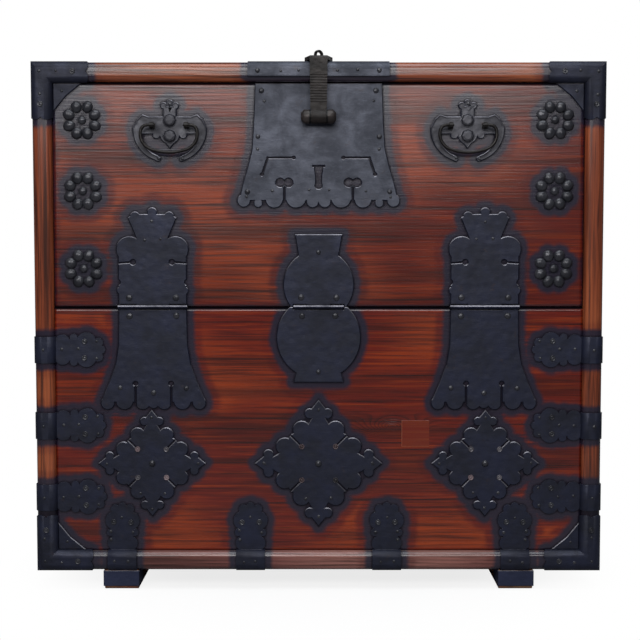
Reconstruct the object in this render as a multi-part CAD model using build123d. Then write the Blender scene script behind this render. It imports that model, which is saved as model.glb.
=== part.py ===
from build123d import *
import os
from math import atan2, cos, degrees, hypot, radians, sin

# Korean bandaji: a chest whose upper front is a door that drops forwards.
# Millimetres. +X is the right side seen from the front, +Y the back, +Z up.
# The origin lies on the floor, in the middle of the chest.

# ---------------------------------------------------------------- sizes
WIDTH = 900.0              # over the two side boards
BODY_HEIGHT = 806.0        # bottom board to top board, without the feet
BODY_DEPTH = 440.0         # front edge of the frame to the back
FOOT_HEIGHT = 31.0
BOARD_THICK = 31.0         # side, top and bottom boards
PANEL_THICK = 25.0         # door and lower front panel
NOSE_PROUD = 10.0          # frame edges stand this far ahead of the panels
OUTER_ROUND = 12.0         # rounding of the frame's outer front edges
SEAM_HEIGHT = 422.0        # hinge line above the bottom of the body
DOOR_GAP = 1.0             # clearance round the door
IRON = 1.8                 # sheet iron thickness
BACK_THICK = 16.0
BACK_LET_IN = 12.0         # rabbet for the back boards
TONGUE_THICK = 9.0
TONGUE_LONG = 6.0
MITRE_DEEP = 26.0          # mitred finger behind the frame's front edge
FINGERS = 7                # straight fingers behind the mitred one
KNUCKLE_R = 3.2            # hinge barrels
HINGE_PIN_R = 1.5
PIN_PLAY = 0.06            # radial play of pins that turn in holes
PLAY = 0.4                 # gap between parts that move past each other
HASP_PLAY = 0.7            # gap between the hasp and the plate under it
HASP_BARREL_R = 11.0
HASP_DOWN = 55.0           # hasp axis below the top board
HASP_WIDE = 28.0
HASP_THICK = 7.0
REEDS = 11                 # grooves filed across the bar
REED_START = 22.0          # first one above the hasp axis
REED_PITCH = 4.2
REED_R = 1.1
HASP_KNUCKLE_LONG = 24.0
HASP_KNOB_LONG = 15.0
KNOB_DOME = 4.5
HASP_BEND_R = 4.5
HASP_PIN_R = 4.0
CROWN_WIDE = 44.0
CROWN_THICK = 6.0
CROWN_REACH = 60.0         # end of the hasp plate, behind the panel face
SLOT_START = 2.5           # slot in that plate, behind the panel face
SLOT_END = 52.0
SLOT_WIDE = 18.0
EYE_BACK = 9.0             # staple eye, behind the panel face
EYE_RISE = 13.0            # eye centre above the top board
EYE_R = 7.5
EYE_HOLE_R = 4.0
EYE_THICK = 4.0
EYE_TURN = 30.0            # the eye faces partly sideways
EYE_SHANK = 20.0           # reach of its shank into the top board
EYE_SHANK_R = 2.4
HANDLE_IN = 185.0          # front handles, from the frame's inner edge
HANDLE_DOWN = 68.0         # swing axis below the top board
BAT_HALF = 58.5            # half the width of a handle plate
HANDLE_HALF = 27.0         # post to middle of the handle
HANDLE_OUT = 12.0          # swing axis ahead of the handle plate
BAIL_STRAIGHT = 34.0       # bails: where the wire starts to bend
BAIL_SHOULDER_R = 10.0
BAIL_SIDE_R = 25.0
BAIL_R = 2.6
BAIL_TENON_R = 2.0
POST_R = 4.8
SIDE_HANDLE_Z = 560.0
SIDE_HANDLE_HALF = 42.0
SIDE_STRAIGHT = 51.0
SIDE_SHOULDER_R = 13.0
SIDE_SIDE_R = 34.0
SIDE_BAIL_R = 4.0
SIDE_TENON_R = 3.0
SIDE_POST_R = 6.5
SIDE_HANDLE_OUT = 12.0
ROSETTE_IN = 47.0          # rosettes, from the frame's inner edge
ROSETTE_DOWN = 59.0        # top rosette below the top board
ROSETTE_UP = 61.0          # bottom rosette above the hinge line
ROSETTE_SHARE = 0.524      # where the middle one stands between them
ROSETTE_RING = 22.0
ROSETTE_BALL_R = 8.0
ROSETTE_BALL_HIGH = 5.0
ROSETTE_MIDDLE_R = 6.5
SIDE_HINGE_IN = 156.0      # side hinges, from the frame's inner edge
SIDE_HINGE_HALF = 54.7
SIDE_HINGE_SEAM = 27.0
MIDDLE_HINGE_HALF = 39.5
MIDDLE_HINGE_SEAM = 19.0
LEAF_HALF = 58.0           # side hinges, half the width at the wings
LEAF_RISE_SHARE = 0.446    # of the door's height
LEAF_DROP_SHARE = 0.3886   # of the lower panel's height
GOURD_HALF = 66.8          # middle hinge, radius of the lower lobe
GOURD_RISE_SHARE = 0.3258
GOURD_DROP_SHARE = 0.2844
LOCK_HALF = 124.0          # lock plate, half the width at the foot
LOCK_SHARE = 0.558         # of the door's height
STRAP_SHARES = (0.839, 0.552, 0.280)  # heights of the side straps, of the panel's
STRAP_HALF = 21.0
STRAP_BAND = 34.0          # plain band of a side strap on the side board
STRAP_HEAD = 80.0          # reach of a strap head over the panel
BOTTOM_STRAP_IN = 105.0    # outer bottom straps, from the frame's inner edge
BOTTOM_STRAP_MIDDLE = 109.0
BOTTOM_STRAP_HALF = 23.0
CORNER_LEG = 90.0
CORNER_WRAP = 55.0
CORNER_PLATE = 44.0
DIAMOND_IN = 153.0         # outer diamonds, from the frame's inner edge
DIAMOND_UP_SHARE = 0.4076  # centres, of the panel's height
DIAMOND_SHARE = 0.2417     # radius of the middle one, of the panel's height
OUTER_DIAMOND_SHARE = 0.2038
TOP_PLATE_HALF = 111.0
TOP_PLATE_DROP = 23.0
TOP_PLATE_BACK = 74.0
RUNNER_IN = 134.0          # foot runners, from the frame's outer edge
RUNNER_WIDE = 54.0
RUNNER_SET_BACK = 6.0      # front end of a runner, behind the frame's front edge
RUNNER_ROUND = 5.0
SHOE_LONG = 46.0
BATTEN_WIDE = 58.0
BATTEN_THICK = 15.0
BATTEN_SHORT = 30.0        # batten's top, below the top of the door
BATTEN_UP = 14.0           # its foot above the hinge line
STOP_WIDE = 12.0
STOP_THICK = 12.0
PEG_R = 3.0                # bamboo pegs in the corner joints
PEG_LONG = 46.0
PEG_PROUD = 0.6
NAIL_R = 5.0
NAIL_HIGH = 2.2
SHANK_HALF = 1.3
SHANK_LONG = 12.0

# ------------------------------------------------------- derived places
HASP_AXIS_AHEAD = IRON + PLAY + HASP_BARREL_R
DEPTH = BODY_DEPTH + HASP_AXIS_AHEAD + HASP_BARREL_R - NOSE_PROUD
BACK_Y = DEPTH / 2
NOSE_Y = BACK_Y - BODY_DEPTH
FACE_Y = NOSE_Y + NOSE_PROUD
PLATE_Y = FACE_Y - IRON
PANEL_BACK_Y = FACE_Y + PANEL_THICK
BASE_Z = FOOT_HEIGHT
TOP_Z = BASE_Z + BODY_HEIGHT
INNER_X = WIDTH / 2 - BOARD_THICK
INNER_TOP = TOP_Z - BOARD_THICK
INNER_BOTTOM = BASE_Z + BOARD_THICK
SEAM_Z = BASE_Z + SEAM_HEIGHT
HINGE_Y = FACE_Y - KNUCKLE_R - 0.3
HASP_Y = FACE_Y - HASP_AXIS_AHEAD
HASP_Z = INNER_TOP - HASP_DOWN
HANDLE_X = INNER_X - HANDLE_IN
HANDLE_Z = INNER_TOP - HANDLE_DOWN
ROSETTE_X = INNER_X - ROSETTE_IN
ROSETTE_TOP = INNER_TOP - ROSETTE_DOWN
ROSETTE_LOW = SEAM_Z + ROSETTE_UP
ROSETTE_MIDDLE = ROSETTE_LOW + ROSETTE_SHARE * (ROSETTE_TOP - ROSETTE_LOW)
SIDE_HINGE_X = INNER_X - SIDE_HINGE_IN
DIAMOND_X = INNER_X - DIAMOND_IN
DIAMOND_Z = BASE_Z + DIAMOND_UP_SHARE * SEAM_HEIGHT
RUNNER_X = WIDTH / 2 - RUNNER_IN
DOOR_HIGH = INNER_TOP - SEAM_Z

parts = {}


# ------------------------------------------------------------- helpers
def block(x0, x1, y0, y1, z0, z1):
    """A box between two corners."""
    box = Box(x1 - x0, y1 - y0, z1 - z0)
    return Pos((x0 + x1) / 2, (y0 + y1) / 2, (z0 + z1) / 2) * box


def outline(*points):
    """A straight-sided outline, whichever way round its points are listed."""
    face = Polygon(*points, align=None)
    if face.face().normal_at().Z > 0:
        return face
    return Polygon(*reversed(points), align=None)


def circles(*items):
    """Circles (x, y, r) joined into one outline."""
    shape = Sketch()
    for x, y, r in items:
        shape += Pos(x, y) * Circle(r)
    return shape


def mirrored_outline(*points):
    """A polygon from its right half, listed from top to bottom."""
    left = [(-x, y) for x, y in reversed(points) if x > 0]
    return outline(*points, *left)


def bar(x0, y0, x1, y1, wide):
    """A straight slot with square ends between two points."""
    turn = degrees(atan2(y1 - y0, x1 - x0))
    long = hypot(x1 - x0, y1 - y0)
    return Pos((x0 + x1) / 2, (y0 + y1) / 2) * (Rot(0, 0, turn) * Rectangle(long, wide))


def lobes(k, *items):
    """Round lobes (x, z, r) and their mirror images, drawn at scale k."""
    shape = Sketch()
    for x, z, r in items:
        for side in sorted({x, -x}):
            shape += Pos(side * k[0], z * k[1]) * Circle(r * k[0])
    return shape


def drawn(k, *points):
    """A polygon from its right half, listed from top to bottom, at scale k."""
    return mirrored_outline(*((x * k[0], z * k[1]) for x, z in points))


def slits(k, *items):
    """Chiselled slits (x0, z0, x1, z1, wide) and their mirror images, at scale k."""
    shape = Sketch()
    for x0, z0, x1, z1, wide in items:
        for side in (-k[0], k[0]):
            shape += bar(side * x0, z0 * k[1], side * x1, z1 * k[1], wide)
    return shape


def spots(k, *places):
    """Nail places (x, z) and their mirror images, at scale k."""
    return [(side * k[0], z * k[1]) for x, z in places for side in sorted({x, -x})]


def on_front(sketch, x, z, thick, y=FACE_Y):
    """Lays an outline (x across, y up) on the front and thickens it forwards."""
    plane = Plane(origin=(x, y, z), x_dir=(1, 0, 0), z_dir=(0, -1, 0))
    return extrude(plane * sketch, amount=thick, dir=(0, -1, 0))


def on_right(sketch, y, z, thick, x=WIDTH / 2):
    """Lays an outline (x towards the back, y up) on the right side."""
    plane = Plane(origin=(x, y, z), x_dir=(0, 1, 0), z_dir=(1, 0, 0))
    return extrude(plane * sketch, amount=thick, dir=(1, 0, 0))


def on_top(sketch, x, y, thick, z=TOP_Z):
    """Lays an outline on the top board."""
    return extrude(Plane.XY.offset(z) * (Pos(x, y) * sketch), amount=thick, dir=(0, 0, 1))


def x_rod(x0, x1, y, z, r):
    """A round bar along X."""
    return Pos((x0 + x1) / 2, y, z) * (Rot(0, 90, 0) * Cylinder(r, x1 - x0))


def other_side(shape):
    """The same piece on the chest's left."""
    return mirror(shape, about=Plane.YZ)


def group(*shapes):
    """Separate solids kept in one node."""
    return Compound([solid for shape in shapes for solid in shape.solids()])


def forged_nail(r, high, shank):
    """A nail pointing to +Y: an eight-sided hammered head and a square shank."""
    head = extrude(Plane.XZ * RegularPolygon(r, 8), amount=high)
    for share in (0.45, 0.30):
        rim = head.faces().sort_by(Axis.Y)[0].edges()
        head = chamfer(rim, share * high)
    return head + block(-SHANK_HALF, SHANK_HALF, -0.3, shank, -SHANK_HALF, SHANK_HALF)


NAIL = forged_nail(NAIL_R, NAIL_HIGH, SHANK_LONG)
PUNCH = SHANK_HALF + 0.15


def front_nails(places, y=PLATE_Y):
    """Nails in the front at (x, z)."""
    return [Pos(x, y, z) * NAIL for x, z in places]


def right_nails(places):
    """Nails in the right side at (y, z)."""
    return [Pos(WIDTH / 2 + IRON, y, z) * (Rot(0, 0, 90) * NAIL) for y, z in places]


def front_holes(places):
    """Punches for the square shanks, through a plate on the front."""
    return [Pos(x, FACE_Y, z) * Box(2 * PUNCH, 60, 2 * PUNCH) for x, z in places]


def side_holes(places):
    """The same punches through a plate on the right side, at (y, z)."""
    return [Pos(WIDTH / 2, y, z) * Box(20, 2 * PUNCH, 2 * PUNCH) for y, z in places]


def both(places):
    """Places (x, ...) and their mirror images."""
    return list(places) + [(-place[0], *place[1:]) for place in places]


# ------------------------------------------------- wooden frame of boards
def frame_ring(grow):
    """The four boards as one ring with rounded front edges, grown all round."""
    ring = block(
        -WIDTH / 2 - grow, WIDTH / 2 + grow, NOSE_Y - grow, BACK_Y, BASE_Z - grow, TOP_Z + grow
    )
    ring -= block(
        grow - INNER_X, INNER_X - grow, NOSE_Y - 50, BACK_Y + 10,
        INNER_BOTTOM + grow, INNER_TOP - grow,
    )
    front = ring.faces().sort_by(Axis.Y)[0]
    ring = fillet(front.outer_wire().edges(), OUTER_ROUND + grow)
    front = ring.faces().sort_by(Axis.Y)[0]
    return fillet(front.inner_wires()[0].edges(), NOSE_PROUD + grow)


def rounded_board(x0, x1, z0, z1, outer, along):
    """One board whose two front edges are rounded; outer picks the outer one."""
    board = block(x0, x1, NOSE_Y, BACK_Y, z0, z1)
    edges = board.faces().sort_by(Axis.Y)[0].edges().filter_by(along).sort_by(outer)
    board = fillet(edges[-1], OUTER_ROUND)
    edges = board.faces().sort_by(Axis.Y)[0].edges().filter_by(along).sort_by(outer)
    return fillet(edges[0], NOSE_PROUD)


solid_ring = frame_ring(0)
rabbet = block(
    -INNER_X - BACK_LET_IN, INNER_X + BACK_LET_IN, BACK_Y - BACK_THICK, BACK_Y,
    INNER_BOTTOM - BACK_LET_IN, INNER_TOP + BACK_LET_IN,
)
tongue_y = FACE_Y + (PANEL_THICK - TONGUE_THICK) / 2
tongue = block(
    -INNER_X - TONGUE_LONG, INNER_X + TONGUE_LONG, tongue_y, tongue_y + TONGUE_THICK,
    INNER_BOTTOM - TONGUE_LONG, SEAM_Z - DOOR_GAP,
)
right_board = rounded_board(INNER_X, WIDTH / 2, BASE_Z, TOP_Z, Axis.X, Axis.Z)
upper_board = rounded_board(-WIDTH / 2, WIDTH / 2, INNER_TOP, TOP_Z, Axis.Z, Axis.X)
lower_board = mirror(upper_board, about=Plane.XY.offset((BASE_Z + TOP_Z) / 2))

# Bamboo pegs that pin the corner fingers from the sides.
finger_start = NOSE_Y + MITRE_DEEP
finger_long = (BACK_Y - finger_start) / FINGERS
pegs = []
for finger in range(1, FINGERS, 2):
    peg_y = finger_start + (finger + 0.5) * finger_long
    for peg_z in (BASE_Z + BOARD_THICK / 2, TOP_Z - BOARD_THICK / 2):
        peg = Rot(0, 90, 0) * extrude(RegularPolygon(PEG_R, 8), amount=PEG_LONG)
        peg = Pos(WIDTH / 2 + PEG_PROUD - PEG_LONG, peg_y, peg_z) * peg
        pegs += [peg, other_side(peg)]
parts["bamboo_pegs"] = group(*pegs)

# Corner joints: a mitred finger at the front, straight ones behind it.
side_outline = outline(
    (INNER_X, INNER_BOTTOM), (INNER_X, INNER_TOP), (WIDTH / 2, TOP_Z), (WIDTH / 2, BASE_Z)
)
right_mask = on_front(side_outline, 0, 0, MITRE_DEEP + 5, y=finger_start)
right_mask += block(INNER_X, WIDTH / 2, finger_start, BACK_Y, INNER_BOTTOM, INNER_TOP)
for finger in range(0, FINGERS, 2):
    y0 = finger_start + finger * finger_long
    right_mask += block(INNER_X, WIDTH / 2, y0, y0 + finger_long, BASE_Z, TOP_Z)
left_mask = other_side(right_mask)
side_board = (right_board & right_mask) - rabbet - tongue - pegs
parts["right_side_board"] = side_board
parts["left_side_board"] = other_side(side_board)
parts["top_board"] = upper_board - right_mask - left_mask - rabbet - pegs
parts["bottom_board"] = lower_board - right_mask - left_mask - rabbet - tongue - pegs

# Three back boards let into the rabbet.
back_span = INNER_TOP - INNER_BOTTOM + 2 * BACK_LET_IN
back_edges = [INNER_BOTTOM - BACK_LET_IN + back_span * step / 3 for step in range(4)]
for name, low, high in zip(("lower", "middle", "upper"), back_edges, back_edges[1:]):
    parts[f"back_board_{name}"] = block(
        -INNER_X - BACK_LET_IN, INNER_X + BACK_LET_IN, BACK_Y - BACK_THICK, BACK_Y, low, high
    )

# Lower front panel with a tongue in the side and bottom boards.
parts["lower_front_panel"] = tongue + block(
    -INNER_X, INNER_X, FACE_Y, PANEL_BACK_Y, INNER_BOTTOM, SEAM_Z - DOOR_GAP
)

# Strips behind the door edges, so that it closes flush.
stop_y = PANEL_BACK_Y + PLAY
side_stop = block(INNER_X - STOP_WIDE, INNER_X, stop_y, stop_y + STOP_THICK, SEAM_Z, INNER_TOP)
top_stop = block(
    STOP_WIDE - INNER_X, INNER_X - STOP_WIDE, stop_y, stop_y + STOP_THICK,
    INNER_TOP - STOP_WIDE, INNER_TOP,
)
parts["door_stops"] = group(side_stop, other_side(side_stop), top_stop)

# Two foot runners with rounded front ends, and their iron shoes.
runner_y = NOSE_Y + RUNNER_SET_BACK
runner = block(
    RUNNER_X - RUNNER_WIDE / 2, RUNNER_X + RUNNER_WIDE / 2, runner_y, BACK_Y - 8, 0, FOOT_HEIGHT
)
lower_ends = runner.faces().sort_by(Axis.Z)[0].edges().filter_by(Axis.X)
runner = fillet(lower_ends, RUNNER_ROUND)
parts["right_foot_runner"] = runner
parts["left_foot_runner"] = other_side(runner)
shoe_half = RUNNER_WIDE / 2 + IRON
shoe = block(
    RUNNER_X - shoe_half, RUNNER_X + shoe_half, runner_y - IRON, runner_y + SHOE_LONG,
    RUNNER_ROUND + 0.2, FOOT_HEIGHT - 0.6,
)
shoe -= block(
    RUNNER_X - RUNNER_WIDE / 2, RUNNER_X + RUNNER_WIDE / 2, runner_y, BACK_Y, -1, FOOT_HEIGHT
)
parts["foot_shoes"] = group(shoe, other_side(shoe))

# ------------------------------------------- sheet iron that wraps the frame
ring_skin = frame_ring(IRON) - solid_ring
ring_skin -= block(-INNER_X, INNER_X, FACE_Y, BACK_Y + 5, INNER_BOTTOM, INNER_TOP)
ring_skin -= block(-WIDTH, WIDTH, BACK_Y - 0.01, BACK_Y + 5, 0, 2 * TOP_Z)

carcass_nails = []
door_nails = []


def cloud_head(reach, half):
    """Strap head pointing to +X from x = 0: humps, cusps and a blunt tip."""
    k = reach / 80
    head = circles((12 * k, half * 0.45, 12 * k), (12 * k, -half * 0.45, 12 * k))
    head += circles((30 * k, half * 0.72, 6 * k), (30 * k, -half * 0.72, 6 * k))
    head += circles((50 * k, half * 0.45, 15.5 * k), (50 * k, -half * 0.45, 15.5 * k))
    head += circles((69 * k, half * 0.42, 7.5 * k), (69 * k, -half * 0.42, 7.5 * k))
    head += circles((73.5 * k, 0, 6.5 * k))
    return head + Pos(35 * k, 0) * Rectangle(70 * k, half * 1.25)


# Side straps: head on the panel, over the frame edge, head on the side board.
panel_head = Rot(0, 0, 180) * cloud_head(STRAP_HEAD, 27)
side_head = circles((14, 11, 13), (14, -11, 13), (44, 12, 15), (44, -12, 15), (64, 0, 9))
side_head += Pos(32, 0) * Rectangle(64, 30)
side_head_y = NOSE_Y + STRAP_BAND
side_straps = []
for share in STRAP_SHARES:
    z = BASE_Z + share * SEAM_HEIGHT
    band = ring_skin & block(
        INNER_X - 10, WIDTH / 2 + 5, NOSE_Y - 5, side_head_y + 1,
        z - STRAP_HALF, z + STRAP_HALF,
    )
    strap = band + on_front(panel_head, INNER_X, z, IRON)
    strap += on_right(side_head, side_head_y, z, IRON)
    front_places = [(INNER_X - 47, z + 13.6), (INNER_X - 47, z - 13.6)]
    side_places = [(side_head_y + 44, z + 12), (side_head_y + 44, z - 12)]
    strap -= side_holes(side_places)
    strap -= front_holes(front_places)
    side_straps += [strap, other_side(strap)]
    nails = front_nails(front_places) + right_nails(side_places)
    carcass_nails += nails + [other_side(nail) for nail in nails]

parts["side_straps"] = group(*side_straps)

# Bottom straps: from under the frame edge up over the lower panel.
foot_head = Rot(0, 0, 90) * cloud_head(STRAP_HEAD - 2, 27)
bottom_straps = []
for x in (INNER_X - BOTTOM_STRAP_IN, BOTTOM_STRAP_MIDDLE):
    strap = ring_skin & block(
        x - BOTTOM_STRAP_HALF, x + BOTTOM_STRAP_HALF, NOSE_Y - 5, FACE_Y + 5,
        BASE_Z, INNER_BOTTOM + 10,
    )
    strap += on_front(foot_head, x, INNER_BOTTOM, IRON)
    places = [(x - 13.6, INNER_BOTTOM + 46), (x + 13.6, INNER_BOTTOM + 46)]
    strap -= front_holes(places)
    bottom_straps += [strap, other_side(strap)]
    carcass_nails += front_nails(both(places))

parts["bottom_straps"] = group(*bottom_straps)

# Corner irons: three-way caps with scalloped ends.
leg = Pos(-CORNER_LEG / 2 + 6, 0) * Rectangle(CORNER_LEG - 12, BOARD_THICK + 12)
leg += circles((12 - CORNER_LEG, 9, 12), (12 - CORNER_LEG, -9, 12))
corner_irons = []
for z_edge, inward in ((TOP_Z, -1), (BASE_Z, 1)):
    mid = z_edge + inward * (BOARD_THICK / 2)
    reach = on_front(leg, WIDTH / 2, mid, 80, y=NOSE_Y + CORNER_WRAP)
    post = Rot(0, 0, 90 if inward < 0 else -90) * leg
    reach += on_front(post, WIDTH / 2 - BOARD_THICK / 2, z_edge, 80, y=NOSE_Y + CORNER_WRAP)
    reach += block(
        WIDTH / 2 - BOARD_THICK, WIDTH / 2 + 5, NOSE_Y - 5, NOSE_Y + CORNER_WRAP,
        *sorted((z_edge - 5 * inward, z_edge + inward * BOARD_THICK)),
    )
    cap = ring_skin & reach
    front_places = [(WIDTH / 2 - 66, mid), (WIDTH / 2 - BOARD_THICK / 2, z_edge + inward * 66)]
    cap -= front_holes(front_places)
    corner_irons += [cap, other_side(cap)]
    carcass_nails += front_nails(both(front_places), y=NOSE_Y - IRON)
parts["corner_irons"] = group(*corner_irons)

# Plate over the top board's front edge, under the hasp, and the staple.
plate = ring_skin & block(
    -TOP_PLATE_HALF, TOP_PLATE_HALF, NOSE_Y - 5, NOSE_Y + TOP_PLATE_BACK,
    TOP_Z - TOP_PLATE_DROP, TOP_Z + 5,
)
eye_y = FACE_Y + EYE_BACK
places = both([(95, TOP_Z - 14)])
plate -= front_holes(places)
plate -= Pos(0, eye_y, TOP_Z) * Cylinder(EYE_SHANK_R + 0.5, 20)
parts["top_edge_plate"] = plate
carcass_nails += front_nails(places, y=NOSE_Y - IRON)
eye = Rot(90, 0, 0) * (Cylinder(EYE_R, EYE_THICK) - Cylinder(EYE_HOLE_R, EYE_THICK + 2))
eye = Pos(0, eye_y, TOP_Z + EYE_RISE) * (Rot(0, 0, EYE_TURN) * eye)
shank_top = TOP_Z + EYE_RISE - EYE_HOLE_R - 1.5
shank_long = shank_top - TOP_Z + EYE_SHANK
shank = Pos(0, eye_y, shank_top - shank_long / 2) * Cylinder(EYE_SHANK_R, shank_long)
parts["hasp_staple"] = eye + shank


# Diamond plates: four petals of lobes round a middle nail.
def diamond(r):
    """Four mirrored petals; the slits between them end at nail holes."""
    k = r / 102
    half = [(-9, 0), (40, 48), (46, 44), (62, 17), (74, 10), (87, 12)]
    points = half + [(102, 0)] + [(x, -y) for x, y in reversed(half[1:])]
    petal = outline(*((x * k, y * k) for x, y in points))
    petal += circles((54 * k, 27 * k, 14.5 * k), (54 * k, -27 * k, 14.5 * k))
    petal += circles((80 * k, 14 * k, 8.5 * k), (80 * k, -14 * k, 8.5 * k))
    shape = Sketch() + [Rot(0, 0, 90 * turn) * petal for turn in range(4)]
    for turn in range(4):
        shape -= Rot(0, 0, 45 + 90 * turn) * bar(38 * k, 0, 80 * k, 0, 1.6)
    return shape


diamonds = []
for x, share in (
    (0.0, DIAMOND_SHARE), (DIAMOND_X, OUTER_DIAMOND_SHARE), (-DIAMOND_X, OUTER_DIAMOND_SHARE)
):
    iron = on_front(diamond(share * SEAM_HEIGHT), x, DIAMOND_Z, IRON)
    diamonds.append(iron - front_holes([(x, DIAMOND_Z)]))
    carcass_nails += front_nails([(x, DIAMOND_Z)])
parts["diamond_plates"] = group(*diamonds)

# ---------------------------------------------------------------- hinges
def knuckle(x0, x1, upwards):
    """A rolled barrel between x0 and x1 with its strip up or down the face."""
    roll = x_rod(x0, x1, HINGE_Y, SEAM_Z, KNUCKLE_R)
    reach = (SEAM_Z, SEAM_Z + 6) if upwards else (SEAM_Z - 6, SEAM_Z)
    strip = block(x0, x1, PLATE_Y, FACE_Y, *reach)
    return roll + strip - x_rod(x0 - 5, x1 + 5, HINGE_Y, SEAM_Z, HINGE_PIN_R + PIN_PLAY)


def hinge(x, half, seam, upper, lower, upper_spots, lower_spots):
    """Two leaves and a pin: the door has the middle knuckle, the chest the outer two."""
    clear = x_rod(x - half - PLAY, x + half + PLAY, HINGE_Y, SEAM_Z, KNUCKLE_R + PLAY)
    clear += block(
        x - half - PLAY, x + half + PLAY, PLATE_Y - 1, FACE_Y + 1, SEAM_Z - 4, SEAM_Z + 4
    )
    top = on_front(upper, x, SEAM_Z, IRON) - clear
    top += knuckle(x - seam + PLAY / 2, x + seam - PLAY / 2, True)
    top -= front_holes([(x + px, SEAM_Z + pz) for px, pz in upper_spots])
    low = on_front(lower, x, SEAM_Z, IRON) - clear
    low += knuckle(x - half, x - seam - PLAY / 2, False)
    low += knuckle(x + seam + PLAY / 2, x + half, False)
    low -= front_holes([(x + px, SEAM_Z + pz) for px, pz in lower_spots])
    pin = x_rod(x - half - 1.5, x + half + 1.5, HINGE_Y, SEAM_Z, HINGE_PIN_R)
    return top, low, pin


below = Pos(0, -100) * Rectangle(400, 200)
above = Pos(0, 100) * Rectangle(400, 200)

# Middle hinge: a gourd. Each leaf is a round lobe, cut off at the seam, with a collar.
wide = GOURD_HALF / 66.8
up = (wide, GOURD_RISE_SHARE * DOOR_HIGH / 115)
down = (wide, GOURD_DROP_SHARE * SEAM_HEIGHT / 120)
gourd_up = drawn(up, (37.5, 115), (30.5, 73.5)) + lobes(up, (0, 35, 56)) - below
gourd_down = lobes(down, (0, -48.7, 66.8)) + drawn(down, (34, -98), (40, -120)) - above
up_spots = spots(up, (0, 87), (28, 15))
down_spots = spots(down, (26, -14), (0, -103))
upper, lower, middle_pin = hinge(
    0, MIDDLE_HINGE_HALF, MIDDLE_HINGE_SEAM, gourd_up, gourd_down, up_spots, down_spots
)
parts["centre_hinge_upper_leaf"] = upper
parts["centre_hinge_lower_leaf"] = lower
door_nails += front_nails([(x, SEAM_Z + z) for x, z in up_spots])
carcass_nails += front_nails([(x, SEAM_Z + z) for x, z in down_spots])

# Side hinges: a crown and two round wings above, a flared skirt of lobes below.
wide = LEAF_HALF / 58
up = (wide, LEAF_RISE_SHARE * DOOR_HIGH / 157.5)
down = (wide, LEAF_DROP_SHARE * SEAM_HEIGHT / 164)
crest_up = drawn(
    up, (0, 147), (30, 147), (38.5, 141), (25.7, 110), (25.7, 85), (54, 80), (54, 0)
)
crest_up += lobes(up, (0, 149.5, 8), (27, 143, 8), (36.5, 91, 21), (50, 26, 7))
crest_up -= lobes(up, (30.9, 71, 4.2), (56, 39, 5)) + slits(up, (30.9, 71, 60, 69, 1.8)) + below
crest_down = drawn(down, (54, 0), (55, -60), (60, -92), (71, -122), (84, -152))
crest_down += lobes(down, (73, -153, 11), (46, -150, 14), (17, -152, 12), (0, -152, 10))
crest_down -= lobes(down, (28.4, -122, 3.6)) + slits(down, (28.4, -175, 28.4, -122, 1.8)) + above
up_spots = spots(up, (37, 15))
down_spots = spots(down, (37, -14), (53, -129), (0, -137))
upper, lower, side_pin = hinge(
    SIDE_HINGE_X, SIDE_HINGE_HALF, SIDE_HINGE_SEAM, crest_up, crest_down, up_spots, down_spots
)
parts["side_hinge_upper_leaves"] = group(upper, other_side(upper))
parts["side_hinge_lower_leaves"] = group(lower, other_side(lower))
parts["hinge_pins"] = group(middle_pin, side_pin, other_side(side_pin))
door_nails += front_nails(both([(SIDE_HINGE_X + x, SEAM_Z + z) for x, z in up_spots]))
carcass_nails += front_nails(both([(SIDE_HINGE_X + x, SEAM_Z + z) for x, z in down_spots]))

# ------------------------------------------------- corner plates on the panels
corner = outline(
    (0, 0), (-CORNER_PLATE, 0), (-0.45 * CORNER_PLATE, -0.45 * CORNER_PLATE), (0, -CORNER_PLATE)
)
door_right = INNER_X - DOOR_GAP
door_top = INNER_TOP - DOOR_GAP
plate_right = INNER_X - IRON - PLAY
plate_top = INNER_TOP - IRON - PLAY
plate = on_front(corner, plate_right, plate_top, IRON)
parts["door_corner_plates"] = group(plate, other_side(plate))
plate = on_front(mirror(corner, about=Plane.XZ), INNER_X - IRON, INNER_BOTTOM + IRON, IRON)
parts["panel_corner_plates"] = group(plate, other_side(plate))

# ------------------------------------------------------------------ door
door = block(-door_right, door_right, FACE_Y, PANEL_BACK_Y, SEAM_Z + DOOR_GAP, door_top)
parts["door_board"] = door
batten = block(
    ROSETTE_X - BATTEN_WIDE / 2, ROSETTE_X + BATTEN_WIDE / 2,
    PANEL_BACK_Y, PANEL_BACK_Y + BATTEN_THICK, SEAM_Z + BATTEN_UP, door_top - BATTEN_SHORT,
)
batten = chamfer(batten.faces().sort_by(Axis.Y)[-1].edges(), 3)
parts["right_door_batten"] = batten
parts["left_door_batten"] = other_side(batten)

# Lock plate: flared, scalloped along the bottom and pierced. Heights from the top board.
k = (LOCK_HALF / 124, LOCK_SHARE * DOOR_HIGH / 197)
lock = drawn(
    k, (100, -2), (102, -60), (105, -105), (111, -130), (119, -157), (124, -178), (121, -185)
)
lock += lobes(
    k, (9.5, -186.5, 10), (35.5, -180.5, 16.5), (70, -183, 14), (95.5, -189, 7), (118, -185, 10.5)
)
lock -= slits(
    k, (54, -205, 54, -163, 2.0), (39, -118, 80, -118, 1.8), (80, -118, 89, -144, 1.8)
)
lock -= lobes(
    k, (47.5, -157, 7), (60.5, -157, 7), (39, -118, 2.4), (80, -118, 1.4), (89, -144, 2.4)
)
keyhole = drawn(k, (9.5, -130), (9.5, -132.4)) + lobes(k, (0, -161.5, 5.5))
keyhole += drawn(k, (7, -131), (4.5, -146), (4.5, -162))
lock -= keyhole
lock_places = [(x, INNER_TOP + z) for x, z in spots(k, (90, -13), (95, -85), (112, -171))]
parts["lock_plate"] = on_front(lock, 0, INNER_TOP, IRON) - front_holes(lock_places)
door_nails += front_nails(lock_places)

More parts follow.
